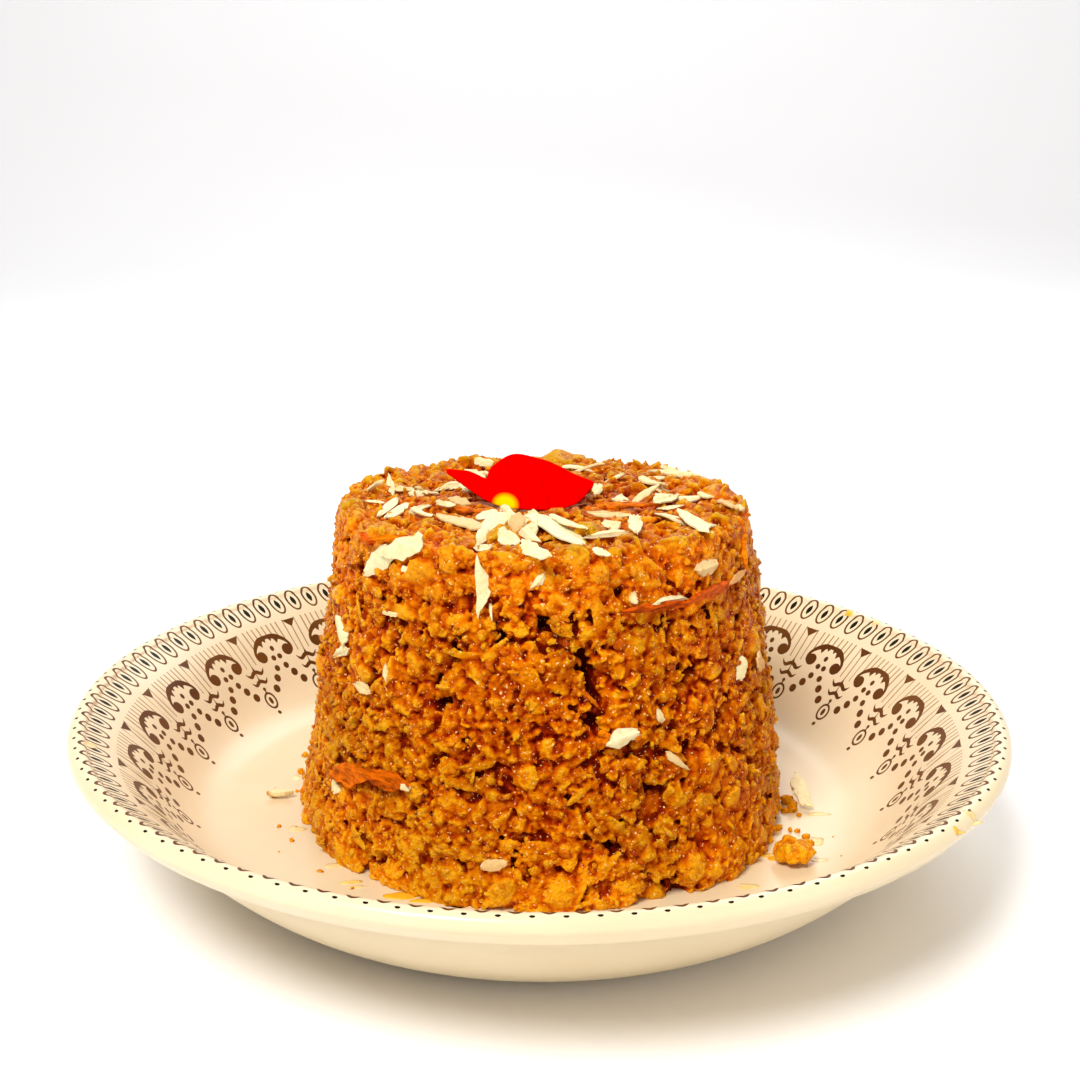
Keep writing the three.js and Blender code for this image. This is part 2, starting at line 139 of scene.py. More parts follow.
# Crevices where the curds part: azimuth, height, half width, half height, depth.
CREVICES = (
    (282, 40, 1.7, 6.0, 6.0), (270, 49.0, 1.4, 1.8, 4.6), (246, 37.9, 1.5, 3.0, 5.0),
    (249, 46.4, 1.4, 2.4, 4.0), (295, 24.5, 1.3, 2.0, 5.0), (285, 15.8, 3.0, 1.6, 4.0),
    (289, 31.1, 1.5, 1.8, 4.2), (306, 39.8, 1.1, 2.2, 4.6), (305, 28.3, 1.3, 1.6, 4.0),
    (318, 33, 1.2, 1.8, 3.6), (299, 7.8, 3.6, 1.6, 4.0), (254, 12.6, 2.2, 1.4, 4.0),
    (230, 10.1, 2.0, 2.2, 4.4), (291, 56.0, 1.6, 1.8, 4.4), (303, 55.8, 1.8, 1.5, 4.4),
    (260, 48, 1.3, 2.0, 4.0), (279, 46.5, 1.2, 1.8, 3.4), (275.6, 11.6, 1.4, 1.2, 3.0),
    (96, 40, 2.0, 6.0, 5.4), (70, 22, 2.6, 2.0, 4.4), (120, 50, 2.6, 1.6, 4.2), (140, 17, 2.2, 2.0, 4.2),
    (32, 46, 1.8, 2.6, 4.2), (12, 26, 2.2, 2.2, 4.2), (170, 34, 1.8, 2.8, 4.2), (193, 16, 2.2, 1.6, 4.0),
)

# Broad hollows, where the side stands in a little, and a toe that stands out, in the same form.
HOLLOWS = ((190, 46, 26, 14, 1.6), (190, 22, 26, 12, 1.7), (312, 8, 15, 5, -1.7))

# Curled strips of curd: pixels of both ends, width across in pixels and outward bend.
CURLS = (
    (452, 634, 476, 622, 9, 0.5), (445, 652, 488, 655, 9, 0.7), (486, 655, 509, 637, 7, 0.4),
    (516, 660, 541, 694, 20, 0.5), (629, 562, 651, 589, 14, 0.6), (681, 560, 676, 588, 9, 0.4),
    (557, 792, 574, 775, 8, 0.7), (566, 806, 590, 782, 8, 0.5), (492, 697, 503, 720, 7, 0.3),
    (594, 590, 600, 636, 13, 0.5), (470, 660, 484, 690, 10, 0.5), (655, 640, 662, 676, 9, 0.4),
    (706, 690, 712, 726, 8, 0.4), (430, 738, 452, 752, 8, 0.5), (520, 720, 548, 714, 8, 0.5),
    (602, 816, 628, 834, 14, 0.4), (390, 700, 410, 716, 8, 0.4), (352, 596, 360, 628, 8, 0.4),
    (708, 602, 716, 634, 9, 0.4), (716, 812, 738, 838, 12, 0.4), (396, 838, 420, 862, 14, 0.4),
    (500, 880, 540, 890, 14, 0.4), (350, 826, 366, 850, 12, 0.4),
)

# Petal: front and back edge of one thin sheet, from the narrow wing to the broad tip.
PETAL_FRONT = (
    (-16.2, 1.4, 65.1), (-12.4, -2.4, 63.2), (-8.9, -6, 61.9), (-6.0, -8.6, 61.6), (-2.0, -9.4, 61.4),
    (2.4, -9.2, 61.4), (6.0, -7, 62.0), (8.7, -3, 63.8),
)
PETAL_BACK = (
    (-16.4, 2.6, 65.3), (-13, 3.4, 64.6), (-9.6, 3.2, 63.4), (-8.6, 3.2, 65.8), (-4.6, 3.2, 68.4),
    (0.2, 3.6, 66.9), (5, 3, 64.6), (8.9, -2, 64.2),
)
PETAL_THICKNESS = 0.6
PETAL_DOME = 1.3
PETAL_WAVE = 0.35
PETAL_SPOT = (-5.9, -7.6, 61.8)

# Flakes seen on the top: pixels of both ends, width across in pixels, and tone from skin to cream.
TOP_FLAKES = (
    (474, 460, 494, 465, 9, 0.8), (392, 489, 416, 489, 6, 0.9), (464, 472, 486, 478, 9, 0.9),
    (438, 489, 460, 484, 9, 0.9), (365, 501, 385, 503, 3, 0.95), (388, 475, 392, 495, 4, 0.9),
    (410, 495, 436, 495, 7, 0.92), (399, 497, 377, 518, 4, 1.0), (408, 504, 386, 519, 5, 0.97),
    (409, 513, 431, 504, 6, 0.95), (416, 511, 433, 517, 6, 0.85), (435, 504, 455, 506, 6, 0.95),
    (446, 497, 470, 504, 8, 0.68), (455, 507, 483, 512, 4, 0.22), (436, 513, 483, 528, 11, 0.72),
    (657, 482, 661, 493, 8, 0.8), (660, 466, 677, 471, 6, 0.75), (700, 494, 713, 499, 4, 0.75),
    (718, 500, 735, 507, 4, 0.7), (653, 503, 675, 495, 7, 0.82), (580, 507, 658, 503, 8, 0.3),
    (586, 514, 632, 516, 7, 0.72), (638, 520, 657, 518, 7, 0.4), (657, 510, 684, 506, 5, 0.97),
    (657, 512, 686, 524, 10, 0.97), (686, 514, 710, 531, 13, 0.98), (552, 516, 588, 530, 9, 0.97),
    (604, 524, 622, 528, 8, 0.85), (582, 537, 630, 531, 8, 0.97), (634, 515, 636, 533, 6, 0.97),
    (592, 549, 611, 556, 8, 0.97), (529, 510, 534, 539, 8, 0.97), (531, 513, 584, 545, 12, 1.0),
    (501, 513, 523, 498, 10, 1.0), (475, 519, 499, 511, 9, 0.97), (475, 543, 503, 512, 8, 0.98),
    (497, 537, 521, 541, 19, 1.0), (499, 506, 536, 543, 6, 0.9), (520, 543, 546, 558, 9, 0.98),
    (475, 550, 492, 548, 6, 0.97), (511, 519, 523, 527, 9, 0.7),
)
ALMOND_TONE = 0.4
# Flakes and slices seen on the side, in the same form.
SIDE_FLAKES = (
    (362, 532, 372, 545, 4, 0.16), (368, 540, 406, 537, 6, 0.34), (364, 573, 392, 549, 14, 0.95),
    (380, 556, 424, 541, 17, 0.95), (400, 568, 407, 570, 4, 0.95), (481, 561, 483, 611, 14, 0.96),
    (490, 602, 492, 622, 3, 0.95), (532, 589, 545, 574, 8, 0.85), (338, 615, 346, 646, 7, 0.85),
    (334, 656, 348, 648, 4, 0.85), (382, 612, 398, 615, 3, 0.8), (386, 663, 386, 680, 5, 0.75),
    (356, 683, 372, 692, 6, 0.75), (618, 612, 690, 602, 7, 0.26), (684, 604, 730, 583, 6, 0.2),
    (728, 585, 743, 572, 3, 0.6), (655, 602, 685, 597, 4, 0.92), (632, 593, 634, 606, 8, 0.75),
    (695, 572, 716, 564, 9, 0.68), (743, 532, 745, 570, 3, 0.44), (737, 505, 743, 510, 5, 0.7),
    (743, 656, 739, 681, 9, 0.85), (757, 658, 762, 669, 5, 0.6), (599, 749, 607, 731, 12, 0.32),
    (606, 744, 640, 731, 15, 0.97), (666, 753, 690, 771, 6, 0.75), (658, 709, 662, 723, 6, 0.75),
    (331, 771, 372, 777, 11, 0.24), (362, 774, 408, 788, 17, 0.24), (400, 786, 410, 790, 6, 0.9),
    (332, 782, 339, 793, 5, 0.85), (480, 867, 508, 863, 11, 0.7),
)
# What lies on the glaze: specks as pixel and radius, smears as pixel, half sizes across and deep, and
# tone from strong to faint.
SPECKS = (
    (279, 827, 0.32), (292, 841, 0.3), (320, 872, 0.3), (352, 889, 0.3), (296, 827, 0.2), (275, 788, 0.12),
    (279, 852, 0.12), (769, 842, 0.6), (763, 848, 0.5), (806, 838, 0.6), (808, 845, 0.6), (797, 832, 0.5),
    (787, 803, 0.9), (792, 811, 0.8), (785, 812, 0.7), (799, 816, 0.45), (795, 805, 0.5), (833, 837, 0.12),
    (841, 856, 0.12), (790, 831, 0.55), (776, 830, 0.7), (770, 834, 0.6),
)
SMEARS = (
    (402, 895, 2.6, 1.1, 0.15), (424, 901, 2.4, 0.8, 0.3), (782, 859, 2.6, 0.9, 0.1),
    (766, 855, 1.7, 0.9, 0.35), (748, 887, 2.2, 0.7, 0.75), (350, 882, 1.5, 0.7, 0.6),
    (358, 887, 1.4, 0.5, 0.8), (297, 829, 1.4, 0.9, 0.85), (296, 778, 0.9, 1.2, 0.95),
    (336, 866, 1.6, 0.8, 0.9), (819, 814, 1.9, 0.7, 0.8), (816, 842, 1.2, 1.6, 0.85),
    (820, 860, 1.5, 0.7, 0.95), (850, 612, 0.9, 1.2, 0.35), (876, 622, 0.7, 0.9, 0.8),
    (975, 822, 1.4, 1.0, 0.8), (958, 832, 1.0, 0.6, 0.5), (90, 745, 0.8, 1.1, 0.85),
)
# Fallen nuts: piece, node, length, width, thickness, turn, lean and tone.
FALLEN_NUTS = (
    ("fallen_nut_flake", "fallen_flake", 8.5, 3.0, 0.7, 100, 24, 0.97),
    ("fallen_nut_sliver", "fallen_sliver", 4.6, 1.7, 1.1, 8, 0, 0.82),
)
# Heaps of flakes where the petal and the top's far side hide them: centre x, y, spread, count.
HIDDEN_HEAPS = ((-8, 13, 6, 6), (-20, 8, 6, 4), (20, 12, 6, 5), (6, 20, 6, 3), (12, 2, 5, 3))
# Flakes on the far side: azimuth, height, length, width, roll.
HIDDEN_FLAKES = (
    (85, 52, 6.0, 2.6, 70), (130, 36, 4.6, 2.4, 30), (160, 48, 5.0, 2.2, -40), (20, 52, 4.8, 2.4, 60),
    (40, 18, 4.4, 2.6, -20), (185, 26, 4.4, 2.2, 50),
)


# ---------------------------------------------------------------- camera, light and floor


def unit(vectors):
    """One vector or each of many, made one long."""
    return vectors / np.linalg.norm(vectors, axis=-1, keepdims=True)


def camera_axes():
    """Right, up and forward of the camera as unit vectors."""
    forward = np.array([0.0, math.cos(CAMERA_PITCH), -math.sin(CAMERA_PITCH)])
    level_up = np.array([0.0, math.sin(CAMERA_PITCH), math.cos(CAMERA_PITCH)])
    level_right = np.array([1.0, 0.0, 0.0])
    right = math.cos(CAMERA_ROLL) * level_right + math.sin(CAMERA_ROLL) * level_up
    up = math.cos(CAMERA_ROLL) * level_up - math.sin(CAMERA_ROLL) * level_right
    return right, up, forward


def sight(pixel):
    """Direction of the line of sight through a pixel of the photograph."""
    right, up, forward = camera_axes()
    across, down = ((value - PHOTO_SIZE / 2) / FOCAL_PIXELS for value in pixel)
    return unit(forward + across * right - down * up)


def add_object(name, data):
    made = bpy.data.objects.new(name, data)
    bpy.context.scene.collection.objects.link(made)
    return made


def make_camera():
    right, up, forward = camera_axes()
    data = bpy.data.cameras.new("camera")
    data.sensor_width = SENSOR_WIDTH
    data.lens = FOCAL_PIXELS / PHOTO_SIZE * SENSOR_WIDTH
    data.clip_start = 0.01
    camera = add_object("camera", data)
    turn = Matrix((right, up, -forward)).transposed().to_4x4()
    camera.matrix_world = Matrix.Translation(Vector(CAMERA_PLACE * MM)) @ turn
    bpy.context.scene.camera = camera


def make_studio():
    for name, place, size, power, colour, target in LIGHTS:
        data = bpy.data.lights.new(name, "AREA")
        data.shape = "DISK"
        data.size, data.energy, data.color = size, power, colour
        light = add_object(name, data)
        light.location = place
        light.rotation_euler = (Vector(target) - Vector(place)).to_track_quat("-Z", "Y").to_euler()
    world = bpy.data.worlds.new("studio")
    world.use_nodes = True
    background = world.node_tree.nodes["Background"]
    background.inputs["Color"].default_value = AIR_COLOUR
    background.inputs["Strength"].default_value = AIR_STRENGTH
    bpy.context.scene.world = world
    bpy.context.scene.view_settings.view_transform = "Standard"


def make_floor():
    """A floor that curves up into a backdrop behind the bowl."""
    turn = np.linspace(0, math.pi / 2, COVE_STEPS + 1)
    cove = np.stack([FLOOR_BACK - COVE_RADIUS * (1 - np.sin(turn)), COVE_RADIUS * (1 - np.cos(turn))], 1)
    section = [(FLOOR_FRONT, 0.0), (0.0, 0.0), *cove.tolist(), (FLOOR_BACK, FLOOR_WALL)]
    places = [(side * FLOOR_SIDE, y, z) for y, z in section for side in (-1, 1)]
    faces = [(2 * i, 2 * i + 1, 2 * i + 3, 2 * i + 2) for i in range(len(section) - 1)]
    mesh = bpy.data.meshes.new("floor")
    mesh.from_pydata(places, [], faces)
    mesh.shade_smooth()
    paint = Paint("studio_floor")
    paint.shade(Base_Color=(0.96, 0.965, 0.985, 1), Roughness=0.6)
    mesh.materials.append(paint.material)
    add_object("floor", mesh)


# ---------------------------------------------------------------- materials


class Paint:
    """A material and short ways to build its nodes."""

    def __init__(self, name):
        self.material = bpy.data.materials.new(name)
        self.material.use_nodes = True
        self.tree = self.material.node_tree
        self.where = self.node("ShaderNodeTexCoord").outputs["Object"]

    def set(self, socket, value):
        if isinstance(value, bpy.types.NodeSocket):
            self.tree.links.new(value, socket)
        else:
            socket.default_value = value

    def node(self, kind, settings=(), **inputs):
        """A node with its settings and its unlinked or linked inputs."""
        node = self.tree.nodes.new(kind)
        for key, value in dict(settings).items():
            setattr(node, key, value)
        for key, value in inputs.items():
            self.set(node.inputs[key.replace("_", " ")], value)
        return node

    def shade(self, **inputs):
        """Sets or links sockets of the surface shader."""
        for key, value in inputs.items():
            self.set(self.tree.nodes["Principled BSDF"].inputs[key.replace("_", " ")], value)

    def ramp(self, factor, *stops):
        """A colour ramp over a factor; a stop is a place and a colour or a grey."""
        node = self.node("ShaderNodeValToRGB", Fac=factor)
        stops = [(place, value if isinstance(value, tuple) else (value,) * 3) for place, value in stops]
        elements = node.color_ramp.elements
        for element, (place, colour) in zip(elements, (stops[0], stops[-1])):
            element.position = place
            element.color = (*colour, 1)
        for place, colour in stops[1:-1]:
            elements.new(place).color = (*colour, 1)
        return node.outputs["Color"]

    def noise(self, scale, detail, roughness=0.55, stretch=None):
        where = self.where
        if stretch:
            where = self.node("ShaderNodeMapping", Vector=where, Scale=stretch).outputs["Vector"]
        return self.node("ShaderNodeTexNoise", Vector=where, Scale=scale, Detail=detail,
                         Roughness=roughness).outputs["Fac"]

    def mix(self, factor, first, second, blend="MIX"):
        node = self.node("ShaderNodeMix", {"data_type": "RGBA", "blend_type": blend})
        for number, value in ((0, factor), (6, first), (7, second)):
            self.set(node.inputs[number], (*value, 1) if isinstance(value, tuple) else value)
        return node.outputs[2]

    def multiply(self, first, second):
        return self.mix(1.0, first, second, "MULTIPLY")

    def bump(self, height, strength, distance, **normal):
        return self.node("ShaderNodeBump", Height=height, Strength=strength, Distance=distance,
                         **normal).outputs["Normal"]

    def tone(self):
        """The tone that each point of the mesh carries."""
        return self.node("ShaderNodeAttribute", {"attribute_name": "tone"}).outputs["Fac"]

    def height(self, low, high):
        """From 0 at the low level to 1 at the high one, in millimetres."""
        level = self.node("ShaderNodeSeparateXYZ", Vector=self.where).outputs["Z"]
        return self.node("ShaderNodeMapRange", Value=level, From_Min=low * MM,
                         From_Max=high * MM).outputs["Result"]


CREAM = ((0.88, 0.73, 0.485), (0.84, 0.68, 0.43))
INKS = (
    ("brown_ink", (0.105, 0.032, 0.005), (0.18, 0.065, 0.011), 0.06),
    ("black_ink", (0.010, 0.005, 0.002), (0.018, 0.010, 0.004), 0.04),
    ("pale_ink", (0.36, 0.21, 0.09), (0.46, 0.29, 0.14), 0.1),
)
# Painted shade: the glaze's colour is multiplied by this on the bowl's floor.
FLOOR_SHADE = (0.91, 0.9, 0.87)


def glaze_materials():
    """Cream glaze, darker on the bowl's floor by painted shade, and the three inks under it."""
    made = []
    for name, light, dark, gloss in (("cream_glaze", *CREAM, 0.35), *INKS):
        paint = Paint(name)
        colour = paint.ramp(paint.noise(45, 2), (0.35, light), (0.7, dark))
        if name == "cream_glaze":
            # Painted shade: darker on the bowl's floor, fading out 4 mm above it.
            floor_shade = paint.ramp(paint.height(FLOOR_HEIGHT, FLOOR_HEIGHT + 4), (0.0, FLOOR_SHADE), (1.0, 1.0))
            colour = paint.multiply(colour, floor_shade)
        paint.shade(Base_Color=colour, Roughness=0.28, Specular_IOR_Level=gloss)
        made.append(paint.material)
    return made


# Colours by tone of the mound's curds and of the crumbs on the glaze; low tones are painted shade in
# crevices, high tones painted light on proud grains.
CURD_STOPS = ((0.0, (0.14, 0.003, 0.0)), (0.25, (0.37, 0.028, 0.0)), (0.5, (0.59, 0.112, 0.0)),
              (0.75, (0.76, 0.212, 0.0)), (1.0, (0.88, 0.385, 0.006)))
# The crumbs' colours are lighter than the curd's: partly their own brighter colour, partly painted light
# against the shade they lie in.
LIT_CRUMB_STOPS = ((0.0, (0.42, 0.04, 0.0)), (0.4, (0.78, 0.18, 0.0)), (0.7, (0.93, 0.33, 0.002)),
               (1.0, (0.97, 0.50, 0.01)))
# Colour of small painted highlights that stand in for the wet sparkle of the curd.
PAINTED_GLINT = (1.0, 0.66, 0.26)


def curd_material(name, stops, gloss, roughness):
    """Moist curd: redder towards the top and in the hollows of its coarse bump, partly painted shade, with
    painted wet highlights.
    """
    paint = Paint(name)
    colour = paint.ramp(paint.tone(), *stops)
    tops = paint.ramp(paint.height(MOUND_TOP - 12, MOUND_TOP + 1), (0.0, 1.0), (0.5, (1.05, 0.88, 1.0)),
                      (0.88, (1.05, 0.86, 1.0)), (1.0, (0.88, 0.98, 1.0)))
    patches = paint.ramp(paint.noise(85, 3), (0.35, (0.84, 0.86, 0.9)), (0.65, (1.1, 1.06, 1.0)))
    spots = paint.noise(1100, 4)
    # Darker and redder in the coarse bump's hollows, lighter on its crests: partly the curd's darker joins,
    # partly painted shade and light.
    joints_and_shade = paint.ramp(spots, (0.35, (0.82, 0.70, 0.6)), (0.5, 1.0), (0.68, (1.08, 1.16, 2.0)))
    for layer in (tops, patches, joints_and_shade):
        colour = paint.multiply(colour, layer)
    # Painted highlights: small pale spots mixed into the base colour.
    painted_glints = paint.ramp(paint.noise(2300, 1, 0.4), (0.68, 0), (0.74, 1))
    wet = paint.ramp(paint.noise(500, 3), (0.35, roughness[0]), (0.7, roughness[1]))
    grains = paint.node("ShaderNodeTexVoronoi", Vector=paint.where, Scale=1700).outputs["Distance"]
    coarse = paint.bump(spots, 0.7, 0.0005)
    fine = paint.bump(paint.ramp(grains, (0.0, 1), (0.9, 0)), 0.7, 0.00024, Normal=coarse)
    finest = paint.bump(paint.noise(3000, 3, 0.65), 0.8, 0.00026, Normal=fine)
    paint.shade(Base_Color=paint.mix(painted_glints, colour, PAINTED_GLINT), Roughness=wet, Normal=finest,
                Specular_IOR_Level=gloss, Specular_Tint=(1.0, 0.65, 0.3, 1), Subsurface_Weight=0.1,
                Subsurface_Radius=(1.0, 0.3, 0.05), Subsurface_Scale=0.0005)
    return paint.material


def nut_material():
    """Nut flesh from brown skin over tan to cream, by the tone of each piece."""
    paint = Paint("nut_flesh")
    tone = paint.tone()
    colour = paint.ramp(tone, (0.0, (0.24, 0.02, 0.0)), (0.2, (0.60, 0.085, 0.0)), (0.4, (0.92, 0.27, 0.0)),
                        (0.6, (0.82, 0.52, 0.22)), (0.8, (0.88, 0.74, 0.40)), (1.0, (0.95, 0.87, 0.54)))
    fibres = paint.ramp(paint.noise(900, 5, 0.7), (0.32, (0.86, 0.8, 0.66)), (0.55, 1.0))
    colour = paint.multiply(colour, fibres)
    streaks = paint.noise(1500, 4, 0.65, (0.3, 0.3, 1.0))
    skins = paint.ramp(streaks, (0.34, (0.4, 0.28, 0.2)), (0.58, (1.25, 1.3, 1.0)))
    colour = paint.mix(paint.ramp(tone, (0.38, 1), (0.46, 0)), colour, paint.multiply(colour, skins))
    paint.shade(Base_Color=colour, Roughness=paint.ramp(paint.noise(500, 3), (0.3, 0.42), (0.7, 0.62)),
                Normal=paint.bump(paint.noise(1600, 4, 0.6), 0.25, 0.00015), Specular_IOR_Level=0.08,
                Subsurface_Weight=0.15, Subsurface_Radius=(1.0, 0.7, 0.4), Subsurface_Scale=0.0008)
    return paint.material


def petal_material():
    """Red petal with fine veins along it and a yellow spot at its foot."""
    paint = Paint("petal_red")
    veins = paint.noise(1300, 3, stretch=(1.0, 0.16, 0.16))
    red = paint.ramp(veins, (0.3, (0.6, 0.0, 0.0)), (0.6, (0.86, 0.0, 0.0)), (0.8, (1.0, 0.0, 0.0)))
    spot = paint.ramp(paint.tone(), (0.1, 0), (0.6, 1))
    paint.shade(Base_Color=paint.mix(spot, red, (1.0, 0.62, 0.0)), Specular_IOR_Level=0.0,
                Roughness=paint.ramp(paint.noise(600, 3), (0.3, 0.5), (0.7, 0.7)),
                Normal=paint.bump(veins, 0.3, 0.0002))
    return paint.material


def smear_material():
    """Oil and sweet on the glaze, from strong to faint by tone."""
    paint = Paint("sweet_oil")
    colour = paint.ramp(paint.tone(), (0.0, (0.88, 0.40, 0.0)), (0.4, (0.88, 0.55, 0.05)),
                        (0.7, (0.88, 0.67, 0.25)), (1.0, (0.88, 0.72, 0.42)))
    patches = paint.ramp(paint.noise(500, 3), (0.35, (1.0, 0.86, 0.7)), (0.65, (1.0, 1.05, 1.1)))
    paint.shade(Base_Color=paint.multiply(colour, patches), Specular_IOR_Level=0.2,
                Roughness=paint.ramp(paint.noise(300, 2), (0.3, 0.12), (0.7, 0.3)))
    return paint.material


# ---------------------------------------------------------------- mesh helpers


def make_piece(name, places, faces, materials, slot, node, inks=None, normals=None, tone=None):
    """A smooth mesh piece from millimetre places, riding on the body, that may replace a node."""
    mesh = bpy.data.meshes.new(name)
    mesh.from_pydata((places * MM).tolist(), [], faces.tolist())
    for material in materials:
        mesh.materials.append(material)
    if inks is not None:
        mesh.polygons.foreach_set("material_index", inks.astype(np.int32))
    mesh.shade_smooth()
    if normals is not None:
        mesh.normals_split_custom_set_from_vertices(normals.tolist())
    if tone is not None:
        values = np.full(len(places), tone, np.float32)
        mesh.attributes.new("tone", "FLOAT", "POINT").data.foreach_set("value", values)
    piece = add_object(name, mesh)
    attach(piece, "root")
    if node:
        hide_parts(node)
    return piece


def join(parts):
    """Places and faces of several shapes as one."""
    starts = np.cumsum([0] + [len(part[0]) for part in parts[:-1]])
    return (np.vstack([part[0] for part in parts]),
            np.vstack([part[1] + start for part, start in zip(parts, starts)]))


def ring_quads(rows, columns):
    """Quads between closed rings of points that follow each other."""
    a = np.arange((rows - 1) * columns).reshape(-1, columns)
    b = np.roll(a, -1, 1)
    return np.stack([a + columns, a, b, b + columns], -1).reshape(-1, 4)


def ring_triangles(rows, columns):
    """The same, each quad cut along one diagonal."""
    return ring_quads(rows, columns)[:, [1, 2, 0, 2, 3, 0]].reshape(-1, 3)


def shell_quads(columns, rows):
    """Quads of a closed body whose upper and lower sheets are grids of columns by rows points."""
    a = (np.arange(columns - 1)[:, None] * rows + np.arange(rows - 1)).reshape(-1)
    under = columns * rows
    upper = np.stack([a, a + rows, a + rows + 1, a + 1], 1)
    lower = under + np.stack([a, a + 1, a + rows + 1, a + rows], 1)
    grid = np.arange(under).reshape(columns, rows)
    ring = np.concatenate([grid[:, 0], grid[-1, 1:], grid[-2::-1, -1], grid[0, -2:0:-1]])
    after = np.roll(ring, -1)
    return np.vstack([upper, lower, np.stack([ring, under + ring, under + after, after], 1)])


def bezier(points, count):
    points = np.array(points, float)
    t = np.linspace(0, 1, count)[:, None]
    return ((1 - t) ** 3 * points[0] + 3 * (1 - t) ** 2 * t * points[1]
            + 3 * (1 - t) * t ** 2 * points[2] + t ** 3 * points[3])


def smooth_line(points, count):
    """Points along a smooth line through the given ones."""
    points = np.array(points, float)
    padded = np.vstack([2 * points[0] - points[1], points, 2 * points[-1] - points[-2]])
    line = []
    for value in np.linspace(0, len(points) - 1, count):
        i = min(int(value), len(points) - 2)
        t = value - i
        a, b, c, d = padded[i:i + 4]
        line.append(0.5 * (2 * b + (c - a) * t + (2 * a - 5 * b + 4 * c - d) * t ** 2
                           + (3 * b - a - 3 * c + d) * t ** 3))
    return np.array(line)


def icosphere(rings):
    """Unit sphere of triangles, split `rings` times from an icosahedron."""
    golden = (1 + 5 ** 0.5) / 2
    corners = [(-1, golden, 0), (1, golden, 0), (-1, -golden, 0), (1, -golden, 0),
               (0, -1, golden), (0, 1, golden), (0, -1, -golden), (0, 1, -golden),
               (golden, 0, -1), (golden, 0, 1), (-golden, 0, -1), (-golden, 0, 1)]
    faces = [(0, 11, 5), (0, 5, 1), (0, 1, 7), (0, 7, 10), (0, 10, 11), (1, 5, 9), (5, 11, 4),
             (11, 10, 2), (10, 7, 6), (7, 1, 8), (3, 9, 4), (3, 4, 2), (3, 2, 6), (3, 6, 8),
             (3, 8, 9), (4, 9, 5), (2, 4, 11), (6, 2, 10), (8, 6, 7), (9, 8, 1)]
    places = [unit(np.array(corner)) for corner in corners]
    for _ in range(rings):
        middles, finer = {}, []

        def middle(a, b):
            key = (min(a, b), max(a, b))
            if key not in middles:
                places.append(unit(places[a] + places[b]))
                middles[key] = len(places) - 1
            return middles[key]

        for a, b, c in faces:
            ab, bc, ca = middle(a, b), middle(b, c), middle(c, a)
            finer += [(a, ab, ca), (b, bc, ab), (c, ca, bc), (ab, bc, ca)]
        faces = finer
    return np.array(places), np.array(faces)


def random_turns(count, random):
    """Rotation matrices spread evenly over all turns."""
    w, x, y, z = unit(random.normal(size=(count, 4))).T
    rows = ((1 - 2 * (y * y + z * z), 2 * (x * y - z * w), 2 * (x * z + y * w)),
            (2 * (x * y + z * w), 1 - 2 * (x * x + z * z), 2 * (y * z - x * w)),
            (2 * (x * z - y * w), 2 * (y * z + x * w), 1 - 2 * (x * x + y * y)))
    return np.moveaxis(np.array(rows), -1, 0)


def scatter(shape, centres, sizes, random, stretch, rough=0.0):
    """Copies of a shape at the centres, each turned, stretched and dented at random."""
    places, faces = shape
    count = len(centres)
    scale = sizes[:, None] * np.exp(stretch * random.normal(size=(count, 3)) * 0.6)
    body = places[None] * scale[:, None, :]
    if rough:
        body = body * (1 + rough * random.normal(size=(count, len(places), 1)))
    body = np.einsum("nij,nkj->nki", random_turns(count, random), body) + centres[:, None, :]
    all_faces = faces[None] + (np.arange(count) * len(places))[:, None, None]
    return body.reshape(-1, 3), all_faces.reshape(-1, faces.shape[1])


def hashed(table, cell):
    """The table's entry for each whole-numbered cell of space."""
    return table[np.bitwise_xor.reduce(cell * HASH_PRIMES, axis=1) & (HASH_CELLS - 1)]


def value_noise(points, size, seed):
    """Smooth noise from -1 to 1."""
    table = np.random.default_rng(seed).random(HASH_CELLS) * 2 - 1
    scaled = points / size
    base = np.floor(scaled).astype(np.int64)
    part = scaled - base
    part = part * part * (3 - 2 * part)
    total = np.zeros(len(points))
    for corner in range(8):
        step = np.array([corner & 1, corner >> 1 & 1, corner >> 2])
        weight = np.prod(np.where(step, part, 1 - part), axis=1)
        total += weight * hashed(table, base + step)
    return total


def cell_distances(points, size, seed):
    """Distance to the nearest and second nearest of scattered seeds, in cells."""
    table = np.random.default_rng(seed).random((HASH_CELLS, 3))
    scaled = points / size
    base = np.floor(scaled).astype(np.int64)
    first, second = np.full((2, len(points)), 9.0)
    for step in np.ndindex(3, 3, 3):
        cell = base + step - 1
        away = np.linalg.norm(cell + hashed(table, cell) - scaled, axis=1)
        second = np.minimum(second, np.maximum(first, away))
        first = np.minimum(first, away)
    return first, second


def wander(points, size, reach, seed):
    """The points moved by smooth noise, so that what is drawn with them gets a ragged edge."""
    return points + reach * np.stack([value_noise(points, size, seed + i) for i in range(3)], 1)


def corner_normals(places, faces):
    """Each face's normal, as long as twice its area."""
    a, b, c = (places[faces[:, i]] for i in range(3))
    return np.cross(b - a, c - a)


def point_normals(places, faces):
    flat = corner_normals(places, faces)
    normals = np.zeros_like(places)
    for corner in range(3):
        for axis in range(3):
            normals[:, axis] += np.bincount(faces[:, corner], flat[:, axis], len(places))
    return normals / np.maximum(np.linalg.norm(normals, axis=1, keepdims=True), 1e-9)


# ---------------------------------------------------------------- bowl and its border


def ellipse(x, y, half_x, half_y, count):
    turn = np.linspace(0, CIRCLE, count, endpoint=False)
    return [(x + half_x * math.cos(a), y + half_y * math.sin(a)) for a in turn]


def bar(x, half, top, end):
    return [(x - half, top), (x + half, top), (x + half, end), (x - half, end)]


